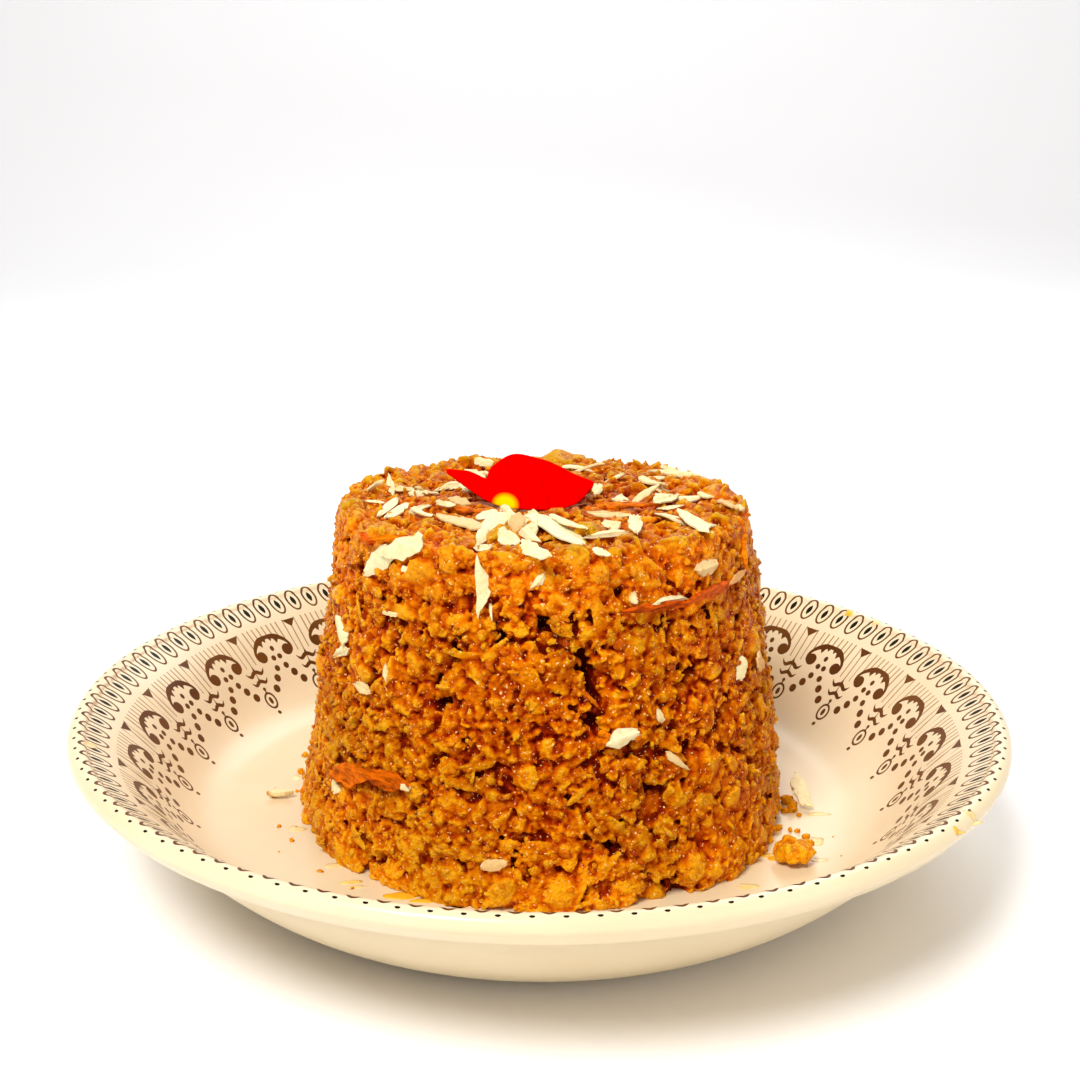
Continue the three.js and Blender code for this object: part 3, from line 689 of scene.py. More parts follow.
def stroke(points, widths, steps=14):
    """Outline of a brush stroke along a smooth line whose width changes."""
    line = smooth_line(points, steps)
    at = np.linspace(0, len(points) - 1, steps)
    width = np.interp(at, range(len(points)), widths)[:, None] / 2
    along = np.gradient(line, axis=0)
    across = unit(np.stack([-along[:, 1], along[:, 0]], 1))
    return [tuple(p) for p in (*(line + across * width), *(line - across * width)[::-1])]


def border_shapes():
    """Inked outlines of half a unit, from a triangle's axis to a scroll's axis; later ones win."""
    axis, lines_top = HALF_UNIT, 7.35
    shapes = []
    for offset in (0.66, 1.95, 3.2, 4.4):
        end = 13.7 - 3.9 * math.sqrt(1 - (offset / 5.1) ** 2)
        shapes.append((PALE, bar(axis - offset, 0.15, lines_top, end)))
    shapes += [(PALE, bar(1.46, 0.13, lines_top, 14.8)), (PALE, bar(0, 0.13, 9.2, 18))]
    for x in (0, axis / 2, axis):
        lens = [(x + 0.5 * math.cos(a) * abs(math.cos(a)), 3.4 + 1.35 * math.sin(a))
                for a in np.linspace(0, CIRCLE, 16, endpoint=False)]
        shapes += [(INK, ellipse(x, 3.27, 1.46, 2.83, 28)), (GLAZE, ellipse(x, 3.3, 1.04, 2.36, 24)),
                   (SLIT, lens)]
    shapes += [(SLIT, ellipse(x, -0.3, 0.36, 0.42, 10)) for x in (axis / 4, axis * 3 / 4)]
    wave = [(-0.3, 15.9), (0.6, 16.25), (1.45, 16.75), (2.1, 16.5), (2.7, 15.8)]
    low_wave = [(-0.3, 18.05), (0.55, 18.35), (1.3, 18.75), (1.85, 18.55), (2.35, 17.95)]
    scroll = [(0.6, 9.98), (-0.6, 9.98), (-2.0, 10.3), (-3.3, 11.0), (-4.3, 12.05), (-4.75, 13.1),
              (-4.6, 14.1), (-4.0, 14.7)]
    outlines = [
        [(-1.55, 7.5), (1.55, 7.5), (0, 9.45)],
        [(-0.5, 16.2), (0.5, 16.2), (0, 14.7)],
        stroke(wave, [0.8, 0.9, 0.82, 0.5, 0.1]),
        [(-0.45, 18.4), (0.45, 18.4), (0, 17.0)],
        stroke(low_wave, [0.75, 0.82, 0.74, 0.46, 0.1]),
        ellipse(0, 20.0, 0.42, 0.42, 10),
        bar(0, 0.2, 20.1, 21.2),
        ellipse(0, 22.65, 1.66, 1.92, 28),
    ]
    shapes += [(INK, outline) for outline in outlines]
    shapes.append((GLAZE, ellipse(0, 22.65, 1.18, 1.44, 24)))
    outlines = [
        ellipse(0, 22.65, 0.5, 0.82, 12),
        ellipse(0, 25.6, 0.5, 0.46, 10),
        stroke([(axis + x, y) for x, y in scroll], [0.85, 0.95, 1.3, 1.0, 0.72, 0.68, 0.8, 0.7], 28),
        [(axis - 1.3, 10.2), (axis - 3.0, 10.8), (axis - 2.0, 12.0)],
        [(axis - 0.2, 10.1), (axis - 1.5, 10.2), (axis - 0.75, 11.2)],
        ellipse(axis - 3.55, 13.9, 1.3, 1.3, 20),
        ellipse(axis, 12.75, 0.5, 0.62, 14),
    ]
    for offset, depth, radius in ((0.85, 14.8, 0.62), (1.31, 17.05, 0.7), (2.56, 18.95, 0.86),
                                  (4.19, 20.9, 0.9)):
        outlines.append(ellipse(axis - offset, depth, radius, radius, 16))
    return shapes + [(INK, outline) for outline in outlines]


def clip_outline(outline, limit, side):
    """Cuts an outline at x = limit and keeps what lies to its side, +1 or -1."""
    kept = []
    for i, point in enumerate(outline):
        before = outline[i - 1]
        inside, was_inside = (side * (p[0] - limit) >= 0 for p in (point, before))
        if inside != was_inside:
            share = (limit - before[0]) / (point[0] - before[0])
            kept.append((limit, before[1] + share * (point[1] - before[1])))
        if inside:
            kept.append(point)
    return kept


def half_unit_mesh():
    """Triangles of the half unit and the ink of each."""
    columns = [HALF_UNIT * i / HALF_UNIT_STEPS for i in range(HALF_UNIT_STEPS + 1)]
    steps = int((BORDER_START + BORDER_DEPTH) / ROW_DEPTH)
    rows = np.linspace(-BORDER_START, BORDER_DEPTH, steps + 1).tolist()
    edge = [(x, rows[0]) for x in columns] + [(HALF_UNIT, y) for y in rows[1:]]
    edge += [(x, BORDER_DEPTH) for x in columns[-2::-1]] + [(0.0, y) for y in rows[-2:0:-1]]
    points, outlines, inks = list(edge), [list(range(len(edge)))], [GLAZE]
    for ink, outline in border_shapes():
        clipped = clip_outline(clip_outline(outline, 0.0, 1), HALF_UNIT, -1)
        if len(clipped) < 3:
            continue
        area = sum(a[0] * b[1] - b[0] * a[1] for a, b in zip(clipped, clipped[1:] + clipped[:1]))
        outlines.append(list(range(len(points), len(points) + len(clipped))))
        points += clipped if area > 0 else clipped[::-1]
        inks.append(ink)
    for column in columns[1:-1]:
        points += [(column + 0.3 * math.sin(7 * y), y) for y in rows[1:-1]]
    flat = [Vector(p) for p in points]
    places, _, faces, _, _, sources = delaunay_2d_cdt(flat, [], outlines, 1, 1e-5, True)
    slots = [inks[max(source)] if source else GLAZE for source in sources]
    return np.array([tuple(p) for p in places]), np.array(faces), np.array(slots)


def lip_points(start, end, count):
    """Radius and height round the lip."""
    turn = np.linspace(start, end, count)
    return np.stack([RIM_RADIUS - LIP_RADIUS + LIP_RADIUS * np.cos(turn),
                     LIP_TOP - LIP_RADIUS + LIP_RADIUS * np.sin(turn)], 1)


def inner_section():
    """Radius and height along the inside, from the border's start to the floor, with the depths."""
    section = np.vstack([lip_points(BORDER_ANGLE, LIP_INNER, 24), bezier(INNER_WALL, 300)])
    steps = np.linalg.norm(np.diff(section, axis=0), axis=1)
    return section, np.concatenate([[0], np.cumsum(steps)]) - BORDER_START


def follow(values, lengths, depths):
    """The pairs of a section's values at the depths."""
    return np.stack([np.interp(depths, lengths, values[:, i]) for i in (0, 1)], 1)


def revolve(section, normals, angles):
    """Places and normals of section points at the angles."""
    cos, sin = np.cos(angles), np.sin(angles)
    return [np.stack([pair[:, 0] * cos, pair[:, 0] * sin, pair[:, 1]], 1) for pair in (section, normals)]


def section_normals(section, inside):
    """Normals beside a section that leaves the lip's top: to the hollow, or to the open air."""
    along = np.gradient(section, axis=0)
    return unit(np.stack([along[:, 1], -along[:, 0]], 1) * (1 if inside else -1))


def rest_of_bowl(section, lengths):
    """The lathed stretches: border to the floor's centre, and lip round to the foot's centre."""
    inner = follow(section, lengths, np.linspace(BORDER_DEPTH, lengths[-1], 14))
    edge = FOOT_RADIUS - FOOT_WIDTH
    foot = [(FOOT_RADIUS - 0.5, 0), (edge + 0.4, 0), (edge - 0.1, 0.15),
            (edge - FOOT_RECESS + 0.3, FOOT_RECESS - 0.2), (edge - FOOT_RECESS - 0.4, FOOT_RECESS)]
    foot += [(radius, FOOT_RECESS) for radius in FLOOR_RINGS[1:]]
    return (np.vstack([inner, [(radius, FLOOR_HEIGHT) for radius in FLOOR_RINGS]]),
            np.vstack([lip_points(BORDER_ANGLE, LIP_OUTER, 14), bezier(OUTER_WALL, 34)[1:], foot]))


def make_bowl(materials):
    """The glazed bowl with its border; returns a search tree for what lies on it."""
    flat, triangles, inks = half_unit_mesh()
    section, lengths = inner_section()
    inward = section_normals(section, True)
    share = PRINT_SHIFT * np.interp(flat[:, 1], SHIFT_DEPTHS, SHIFT_SHARES)
    shapes, normals, slots = [], [], []
    for number in range(UNITS):
        for side in (1, -1):
            angles = BORDER_PHASE + CIRCLE * number / UNITS + side * flat[:, 0] / MOTIF_RADIUS
            depths = flat[:, 1] - share * (1 - np.sin(angles)) / 2
            ring, ring_normals = (follow(values, lengths, depths) for values in (section, inward))
            places, turned = revolve(ring, ring_normals, angles)
            shapes.append((places, triangles))
            normals.append(turned)
            slots.append(inks)
    steps = 2 * UNITS * HALF_UNIT_STEPS
    angles = BORDER_PHASE + CIRCLE * np.arange(steps) / steps
    for rows, inside in zip(rest_of_bowl(section, lengths), (True, False)):
        each = np.repeat(np.arange(len(rows)), steps)
        places, turned = revolve(rows[each], section_normals(rows, inside)[each], np.tile(angles, len(rows)))
        shapes.append((places, ring_triangles(len(rows), steps)))
        normals.append(turned)
        slots.append(np.full(len(shapes[-1][1]), GLAZE))
    places, faces = join(shapes)
    normals, slots = np.vstack(normals), np.concatenate(slots)
    wrong = np.einsum("ij,ij->i", corner_normals(places, faces), normals[faces].sum(1)) < 0
    faces[wrong] = faces[wrong][:, ::-1]
    _, first, merged = np.unique(np.round(places, 4) + 0.0, axis=0, return_index=True,
                                 return_inverse=True)
    faces = merged.reshape(-1)[faces]
    whole = (faces[:, 0] != faces[:, 1]) & (faces[:, 1] != faces[:, 2]) & (faces[:, 2] != faces[:, 0])
    places, faces = places[first], faces[whole]
    make_piece("glazed_bowl", places, faces, materials, "glaze", "bowl", slots[whole], normals[first])
    return BVHTree.FromPolygons(places.tolist(), faces.tolist())


# ---------------------------------------------------------------- the mound


def side_radius(height):
    share = (height - MOUND_BASE) / (MOUND_TOP - MOUND_BASE)
    return BASE_RADIUS + (TOP_RADIUS - BASE_RADIUS) * share + SIDE_BULGE * 4 * share * (1 - share)


def depth_below_face(points):
    """How deep points lie under the mound's plain faces."""
    side = side_radius(points[:, 2]) - np.hypot(points[:, 0], points[:, 1])
    return np.minimum(side, MOUND_TOP - points[:, 2])


def dent_depth(points, dents):
    """Depth of the dents at the points, each a soft round hollow in the side."""
    azimuth = np.degrees(np.arctan2(points[:, 1], points[:, 0]))
    radius = np.hypot(points[:, 0], points[:, 1])
    total = np.zeros(len(points))
    for at, level, half_width, half_height, depth in dents:
        across = np.radians((azimuth - at + 180) % 360 - 180) * radius / half_width
        total += depth * np.exp(-across ** 2 - ((points[:, 2] - level) / half_height) ** 2)
    return total


def crevice_depth(points):
    return dent_depth(wander(points, 2.4, 1.5, 40), CREVICES)


def joint_depth(points):
    """How far clusters of curd part from each other: 1 in a joint, 0 within a cluster."""
    near, far = cell_distances(wander(points, 3.0, 1.2, 60), 5.4, 3)
    return np.exp(-((far - near) / 0.13) ** 2)


def near_edges(heights):
    """From 0 on the plain side to 1 along the top edge and the base."""
    return np.exp(-((heights - 58) / 4.5) ** 2) + np.exp(-((heights - 9) / 4) ** 2)


def face_points(spacing, random):
    """Jittered points over the mound's side and top, with their outward normals."""
    places, normals = [], []

    def add(radius, turn, z, outward, upward):
        across = np.stack([np.cos(turn), np.sin(turn)], 1)
        count = len(turn)
        places.append(np.column_stack([np.reshape(radius, (-1, 1)) * across, np.broadcast_to(z, count)]))
        normals.append(np.column_stack([outward * across, np.full(count, upward)]))

    slope = (BASE_RADIUS - TOP_RADIUS) / (MOUND_TOP - MOUND_BASE)
    lean = np.array([1.0, slope]) / math.hypot(1, slope)
    rows = int((MOUND_TOP - MOUND_BASE) / spacing)
    for row in range(rows + 1):
        level = MOUND_BASE + 0.6 + (MOUND_TOP - MOUND_BASE - 1.8) * row / rows
        count = int(CIRCLE * side_radius(level) / spacing)
        turn = CIRCLE * (np.arange(count) + random.random(count) * 0.8 + 0.5 * (row % 2)) / count
        z = level + spacing * 0.4 * (random.random(count) - 0.5)
        add(side_radius(z), turn, z, *lean)
    rings = int(TOP_RADIUS / spacing)
    for ring in range(rings):
        radius = (TOP_RADIUS - 1.2) * (ring + 0.5) / rings
        count = max(4, int(CIRCLE * radius / spacing))
        turn = CIRCLE * (np.arange(count) + random.random(count) * 0.8) / count
        add(radius + spacing * 0.4 * (random.random(count) - 0.5), turn, MOUND_TOP, 0.0, 1.0)
    edge = int(CIRCLE * TOP_RADIUS / spacing)
    turn = CIRCLE * (np.arange(edge) + random.random(edge) * 0.8) / edge
    add(TOP_RADIUS, turn, MOUND_TOP - 0.2, math.sqrt(0.5), math.sqrt(0.5))
    return np.vstack(places), np.vstack(normals)


def core_mesh():
    """A closed core under the curds, with the deep crevices in it."""
    section = [(0.0, MOUND_BASE), (BASE_RADIUS - 3.5, MOUND_BASE)]
    levels = np.linspace(MOUND_BASE + 1.5, MOUND_TOP - 2.5, CORE_ROWS)
    section += [(side_radius(z) - CORE_INSET, z) for z in levels]
    section += [(r, MOUND_TOP - CORE_INSET) for r in np.linspace(TOP_RADIUS - 3.2, 0, CORE_RINGS)]
    section = np.repeat(section, CORE_COLUMNS, 0)
    turn = np.tile(CIRCLE * np.arange(CORE_COLUMNS) / CORE_COLUMNS, len(section) // CORE_COLUMNS)
    places, _ = revolve(section, section, turn)
    radius = np.hypot(places[:, 0], places[:, 1])
    pulled = np.maximum(radius - crevice_depth(places), 0) / np.maximum(radius, 1e-6)
    places[:, :2] *= pulled[:, None]
    return places, ring_triangles(len(section) // CORE_COLUMNS, CORE_COLUMNS)


def curd_blobs():
    """Clumps and grains over the mound's faces, as one soup of closed balls."""
    random = np.random.default_rng(11)
    plain, coarse = icosphere(1), icosphere(0)
    places, normals = face_points(CLUMP_SPACING, random)
    crevice = crevice_depth(places)
    radius = np.clip(random.lognormal(math.log(1.15), 0.4, len(places)), 0.55, 2.4)
    radius *= 1 + 0.3 * near_edges(places[:, 2]) - 0.4 * (crevice > 1.4)
    radius *= 1 - 0.25 * (places[:, 2] > MOUND_TOP - 0.1)
    swell = 0.45 * value_noise(places, 11, 8) + random.normal(0, 0.22, len(places))
    sink = 0.68 * radius + 1.7 * joint_depth(places) + crevice - np.clip(swell, -0.8, 0.5)
    shown = crevice < 2.4
    places, normals, radius, sink = places[shown], normals[shown], radius[shown], sink[shown]
    centres = places - normals * sink[:, None]
    clumps = scatter(plain, centres, radius, random, 0.5, 0.1)

    ways = unit(random.normal(size=(len(centres), CLUMP_GRAINS, 3)))
    inward = np.einsum("nki,ni->nk", ways, normals) < -0.1
    ways[inward] *= -1
    grain_places = (centres[:, None] + ways * (0.93 * radius)[:, None, None]).reshape(-1, 3)
    grain_sizes = np.clip(random.lognormal(math.log(0.36), 0.35, len(grain_places)), 0.22, 0.9)
    grains = scatter(coarse, grain_places, grain_sizes, random, 0.8, 0.14)

    spread, spread_normals = face_points(GRAIN_SPACING, random)
    kept = (crevice_depth(spread) < 0.9) & (joint_depth(spread) < 0.3)
    spread, spread_normals = spread[kept], spread_normals[kept]
    sizes = np.clip(random.lognormal(math.log(0.48), 0.35, len(spread)), 0.28, 1.2)
    lift = 0.3 * value_noise(spread, 3.4, 21) + 0.45 * value_noise(spread, 11, 8) - 0.2
    spread += spread_normals * (lift - 0.3 * sizes)[:, None]
    return [clumps, grains, scatter(coarse, spread, sizes, random, 0.8, 0.14)]


def strip(start, end, normal, width, thickness, bend, lean):
    """A flat, bent and ragged strip of curd between two places."""
    body, faces = icosphere(3)
    length = np.linalg.norm(end - start)
    along = (end - start) / length
    side = unit(np.cross(normal, along))
    up = np.cross(along, side)
    side, up = math.cos(lean) * side + math.sin(lean) * up, math.cos(lean) * up - math.sin(lean) * side
    local = body * np.array([length / 2, width / 2, thickness / 2])
    local[:, 1] *= 1 + 0.35 * value_noise(body * 3 + start, 0.8, 19)
    local[:, 2] += bend * (0.5 - body[:, 0] ** 2) + 0.5 * lean * body[:, 0] * body[:, 1]
    return local @ np.array([along, side, up]) + (start + end) / 2, faces


def shreds(random):
    """Strips of curd lying anyhow over the face."""
    places, normals = face_points(3.0, random)
    chosen = random.choice(len(places), SHREDS, replace=False)
    made = []
    for place, normal in zip(places[chosen], normals[chosen]):
        if crevice_depth(place[None])[0] > 1.0:
            continue
        along = np.cross(normal, random.normal(size=3))
        along *= random.uniform(1.4, 3.2) / np.linalg.norm(along)
        place = place + normal * random.uniform(-0.1, 0.4)
        made.append(strip(place - along, place + along, normal, random.uniform(1.1, 2.2), 0.7,
                          random.uniform(0.2, 0.8), random.uniform(-0.7, 0.7)))
    return made


def face_spot(pixel):
    """Where the line of sight through a pixel meets the mound's plain face, and the normal there."""
    reach = np.linspace(*FACE_REACH, FACE_STEPS)
    line = CAMERA_PLACE + reach[:, None] * sight(pixel)
    spot = line[np.argmax(depth_below_face(line) > 0)]
    return spot, spot * (1, 1, 0) / np.hypot(spot[0], spot[1])


def curls(random):
    """The curled strips that the photograph shows."""
    made = []
    for x0, y0, x1, y1, width, bend in CURLS:
        (start, normal), (end, _) = face_spot((x0, y0)), face_spot((x1, y1))
        width *= np.linalg.norm(start - CAMERA_PLACE) / FOCAL_PIXELS
        lift = normal * 0.35
        made.append(strip(start + lift, end + lift, normal, width, 0.8, bend, random.uniform(-0.5, 0.5)))
    return made


def fuse(places, faces, voxel, share):
    """One skin round overlapping closed shapes, thinned to a share of its triangles."""
    mesh = bpy.data.meshes.new("soup")
    mesh.from_pydata(places.tolist(), [], faces.tolist())
    soup = add_object("soup", mesh)
    remesh = soup.modifiers.new("remesh", "REMESH")
    remesh.mode = "VOXEL"
    remesh.voxel_size = voxel
    thin = soup.modifiers.new("thin", "DECIMATE")
    thin.ratio = share
    thin.use_collapse_triangulate = True
    result = soup.evaluated_get(bpy.context.evaluated_depsgraph_get()).to_mesh()
    result.calc_loop_triangles()
    skin = np.zeros(len(result.vertices) * 3)
    result.vertices.foreach_get("co", skin)
    corners = np.zeros(len(result.loop_triangles) * 3, np.int64)
    result.loop_triangles.foreach_get("vertices", corners)
    bpy.data.objects.remove(soup)
    bpy.data.meshes.remove(mesh)
    return skin.reshape(-1, 3), corners.reshape(-1, 3)


def relaxed(values, faces, rounds):
    """Values at points, each replaced by its neighbours' mean, several times over."""
    here = np.concatenate([faces[:, 0], faces[:, 1], faces[:, 2]] * 2)
    there = np.concatenate([faces[:, i] for i in (1, 2, 0, 2, 0, 1)])
    count = len(values)
    shared = np.bincount(here, minlength=count)[:, None]
    for _ in range(rounds):
        values = np.stack([np.bincount(here, values[there, axis], count) for axis in range(3)], 1) / shared
    return values


def curd_tone(skin, faces, normals):
    """Painted light and shade, from 0 in the deepest crevices to 1 on the proudest grains, with the
    photograph's patches.
    """
    close = relaxed(skin, faces, 4)
    wide = relaxed(close, faces, 20)
    # Painted light and shade: lighter where the skin stands proud of its neighbours, darker where it sinks
    # below them.
    grain = np.einsum("ij,ij->i", skin - close, normals)
    clump = np.einsum("ij,ij->i", close - wide, normals)
    depth = depth_below_face(skin)
    x, y, z = skin.T
    azimuth = np.degrees(np.arctan2(y, x)) % 360
    on_top = z > 57
    # Lighter along the top edge, the base band and the lower left side: partly the curd's own colour, partly
    # painted light.
    patches = 0.08 * value_noise(skin, 13, 77) + 0.17 * near_edges(z)
    patches += 0.06 * np.exp(-((z - 16) / 12) ** 2)
    patches += 0.06 * np.exp(-((azimuth - 225) / 25) ** 2) * (z < 30)
    # Darker on the front right, in the middle, at the upper left and on the top: partly the curd's own
    # browner patches, partly painted shade, most of all on the top.
    shaded = 0.07 * np.exp(-((azimuth - 325) / 26) ** 2) * (z < 52)
    shaded += 0.07 * np.exp(-((azimuth - 268) / 24) ** 2 - ((z - 38) / 12) ** 2)
    shaded += 0.05 * np.exp(-((azimuth - 236) / 20) ** 2 - ((z - 50) / 8) ** 2)
    shaded += 0.2 * np.exp(-(np.hypot(x, y) / 27) ** 6) * on_top
    shaded += 0.07 * np.clip(x / 10 - 0.5, 0, 1) * on_top
    # Darker the deeper the skin lies under the plain faces: painted shade.
    tone = 0.56 + 1.65 * grain + 0.5 * clump - 0.19 * np.maximum(depth - 0.4, 0) + patches - shaded
    return np.clip(tone, 0, 1)


def pressed(skin):
    """The skin as the mould and the petal left it, with the hollows in its side."""
    radius = np.hypot(skin[:, 0], skin[:, 1])
    side = side_radius(skin[:, 2])
    held = np.minimum(radius, side + PRESSED_FROM)
    held += PRESSED_SHARE * (radius - held) - dent_depth(skin, HOLLOWS) * np.minimum(radius / side, 1) ** 2
    skin = skin * np.stack([held / np.maximum(radius, 1e-6)] * 2 + [np.ones(len(skin))], 1)
    bed = np.linalg.norm((skin[:, :2] - PETAL_BED) / PETAL_BED_REACH, axis=1) < 1
    skin[bed, 2] = np.minimum(skin[bed, 2], PETAL_BED_TOP)
    return skin


def make_mound(material):
    """The fused curds as four sectors; returns the skin for what lies on it."""
    random = np.random.default_rng(5)
    parts = [core_mesh(), *curd_blobs(), *shreds(random), *curls(random)]
    skin, faces = fuse(*join(parts), CURD_VOXEL, CURD_SHARE)
    skin[:, 2] = np.maximum(skin[:, 2], FLOOR_HEIGHT + 0.02)
    tone = curd_tone(skin, faces, point_normals(skin, faces))
    skin = pressed(skin)
    normals = point_normals(skin, faces)
    middle = skin[faces].mean(1)
    sector = (np.degrees(np.arctan2(middle[:, 1], middle[:, 0])) - 225) % 360 // 90
    for number, name in enumerate(("palkova_front", "palkova_right", "palkova_back", "palkova_left")):
        used, chosen = np.unique(faces[sector == number], return_inverse=True)
        make_piece(name, skin[used], chosen.reshape(-1, 3), [material], "curd", "palkova",
                   normals=normals[used], tone=tone[used])
    return skin, faces, normals, tone


def make_loose_grains(skin, normals, tone, material):
    """Crisp small grains on the proud places of the skin."""
    random = np.random.default_rng(23)
    able = np.flatnonzero((tone > 0.4) & (skin[:, 2] > MOUND_BASE + 0.6) & (skin[:, 2] < MOUND_TOP - 0.6))
    chosen = random.choice(able, LOOSE_GRAINS, replace=False)
    sizes = np.clip(random.lognormal(math.log(0.33), 0.3, LOOSE_GRAINS), 0.2, 0.7)
    centres = skin[chosen] - normals[chosen] * (0.3 * sizes)[:, None]
    places, faces = scatter(icosphere(0), centres, sizes, random, 0.7, 0.1)
    # The grains take the skin's tone, with its painted light and shade.
    tones = np.repeat(np.clip(tone[chosen] + random.normal(0.02, 0.13, LOOSE_GRAINS), 0, 1),
                      len(places) // LOOSE_GRAINS)
    make_piece("loose_grains", places, faces, [material], "curd", "palkova", tone=tones)
    return places, faces


# ---------------------------------------------------------------- flakes, slices and petal


def flake_shape(length, width, thickness, bend, random):
    """A broken nut flake lying along X: a thin, ribbed and slightly curved shard."""
    columns, rows = 10, 5
    blunt = random.uniform(0.15, 1.0, 2)
    lean = random.normal(0, 0.35)
    widest = random.uniform(-0.45, 0.45)
    ribs = random.normal(0, 0.16, rows)
    jags = random.normal(0, 0.12, (2, columns))
    torn = random.uniform(0.84, 1.0, (2, rows))
    twist = random.normal(0, 0.14)
    fold = random.uniform(-0.3, 0.3)
    u = (2 * np.arange(columns) / (columns - 1) - 1)[:, None]
    share = np.arange(rows) / (rows - 1)
    before = u < widest
    away = np.abs(u - widest) / np.where(before, 1 + widest, 1 - widest)
    end = np.where(before, blunt[0], blunt[1])
    half = width / 2 * np.maximum(0.08, (1 - away ** 1.5) * (1 - end) + end * (1 - 0.3 * away ** 4))
    near, far = -half * (1 + jags[0][:, None]), half * (1 + jags[1][:, None])
    across = near + (far - near) * share
    crown = thickness / 2 * (1 - 0.45 * (2 * share - 1) ** 2) * (1 - 0.35 * u ** 4)
    rise = bend * u * u + ribs * thickness + twist * u * across + fold * (np.abs(across) - half / 2)
    reach = u * length / 2 * (1 + lean * (share - 0.5))
    reach[[0, -1]] *= torn
    sheets = [np.stack([reach, across, rise + side * crown], -1).reshape(-1, 3) for side in (1, -1)]
    return np.vstack(sheets), shell_quads(columns, rows)[:, [0, 1, 2, 0, 2, 3]].reshape(-1, 3)


class Ground:
    """What the garnish lies on: the mound's skin, its grains, and the flakes laid so far."""

    def __init__(self, places, faces):
        self.trees = []
        self.add(places, faces)

    def add(self, places, faces):
        self.trees.append(BVHTree.FromPolygons(places.tolist(), faces.tolist()))

    def distance(self, origin, way):
        """Distance to the first thing along a ray, or None."""
        hits = [tree.ray_cast(Vector(origin), Vector(way))[3] for tree in self.trees]
        return min((hit for hit in hits if hit is not None), default=None)

    def lay(self, shape, along, normal, middle):
        """Turns a flake along its line, lifts it to its middle and adds it."""
        places = shape[0] @ np.array([along, np.cross(normal, along), normal]) + middle
        self.add(places, shape[1])
        return places, shape[1]


def lay_in_sight(ground, ends, width_pixels, facing, bend, thickness, sink, random):
    """A flake between two pixels of the photograph, resting against what carries it."""
    known = []
    while not known:
        ways = [sight(pixel) for pixel in ends]
        reach = [ground.distance(CAMERA_PLACE, way) for way in ways]
        known = [value for value in reach if value is not None]
        ends = ends if known else [(x, y + 2) for x, y in ends]
    reach = [value if value is not None else known[0] for value in reach]
    excess = []
    for share in np.linspace(0.1, 0.9, 7):
        way = sight(np.array(ends[0]) * (1 - share) + np.array(ends[1]) * share)
        hit = ground.distance(CAMERA_PLACE, way)
        if hit is not None:
            excess.append(reach[0] * (1 - share) + reach[1] * share - hit)
    clear = max(0.0, float(np.quantile(excess, 0.85)) if excess else 0.0) + thickness / 2 - sink
    first, second = (CAMERA_PLACE + way * (value - clear) for way, value in zip(ways, reach))
    length = np.linalg.norm(second - first)
    along = (second - first) / length
    view = -unit(ways[0] + ways[1])
    normal = unit(np.array(facing) - along * np.dot(facing, along))
    scale = (reach[0] + reach[1]) / 2 / FOCAL_PIXELS
    width = width_pixels * scale / max(abs(np.dot(normal, view)), 0.35)
    shape = flake_shape(length, width, thickness, bend, random)
    return ground.lay(shape, along, normal, (first + second) / 2)


def lay_at(ground, place, facing, turn, length, width, thickness, bend, random):
    """A flake at a place over the face, dropped against it along its own normal."""
    normal = unit(np.array(facing, float))
    helper = np.array([0.0, 0.0, 1.0]) if abs(normal[2]) < 0.8 else np.array([1.0, 0.0, 0.0])
    side = unit(np.cross(helper, normal))
    along = math.cos(turn) * side + math.sin(turn) * np.cross(normal, side)
    origin = np.array(place) + normal * DROP
    spots = [origin + along * share * length for share in np.linspace(-0.4, 0.4, 5)]
    falls = [ground.distance(spot, -normal) for spot in spots]
    fall = np.quantile([value for value in falls if value is not None], 0.3)
    shape = flake_shape(length, width, thickness, bend, random)
    return ground.lay(shape, along, normal, origin - normal * (fall - thickness / 2))


def outward(azimuth, lean=0.15):
    angle = math.radians(azimuth)
    return np.array([math.cos(angle), math.sin(angle), lean])


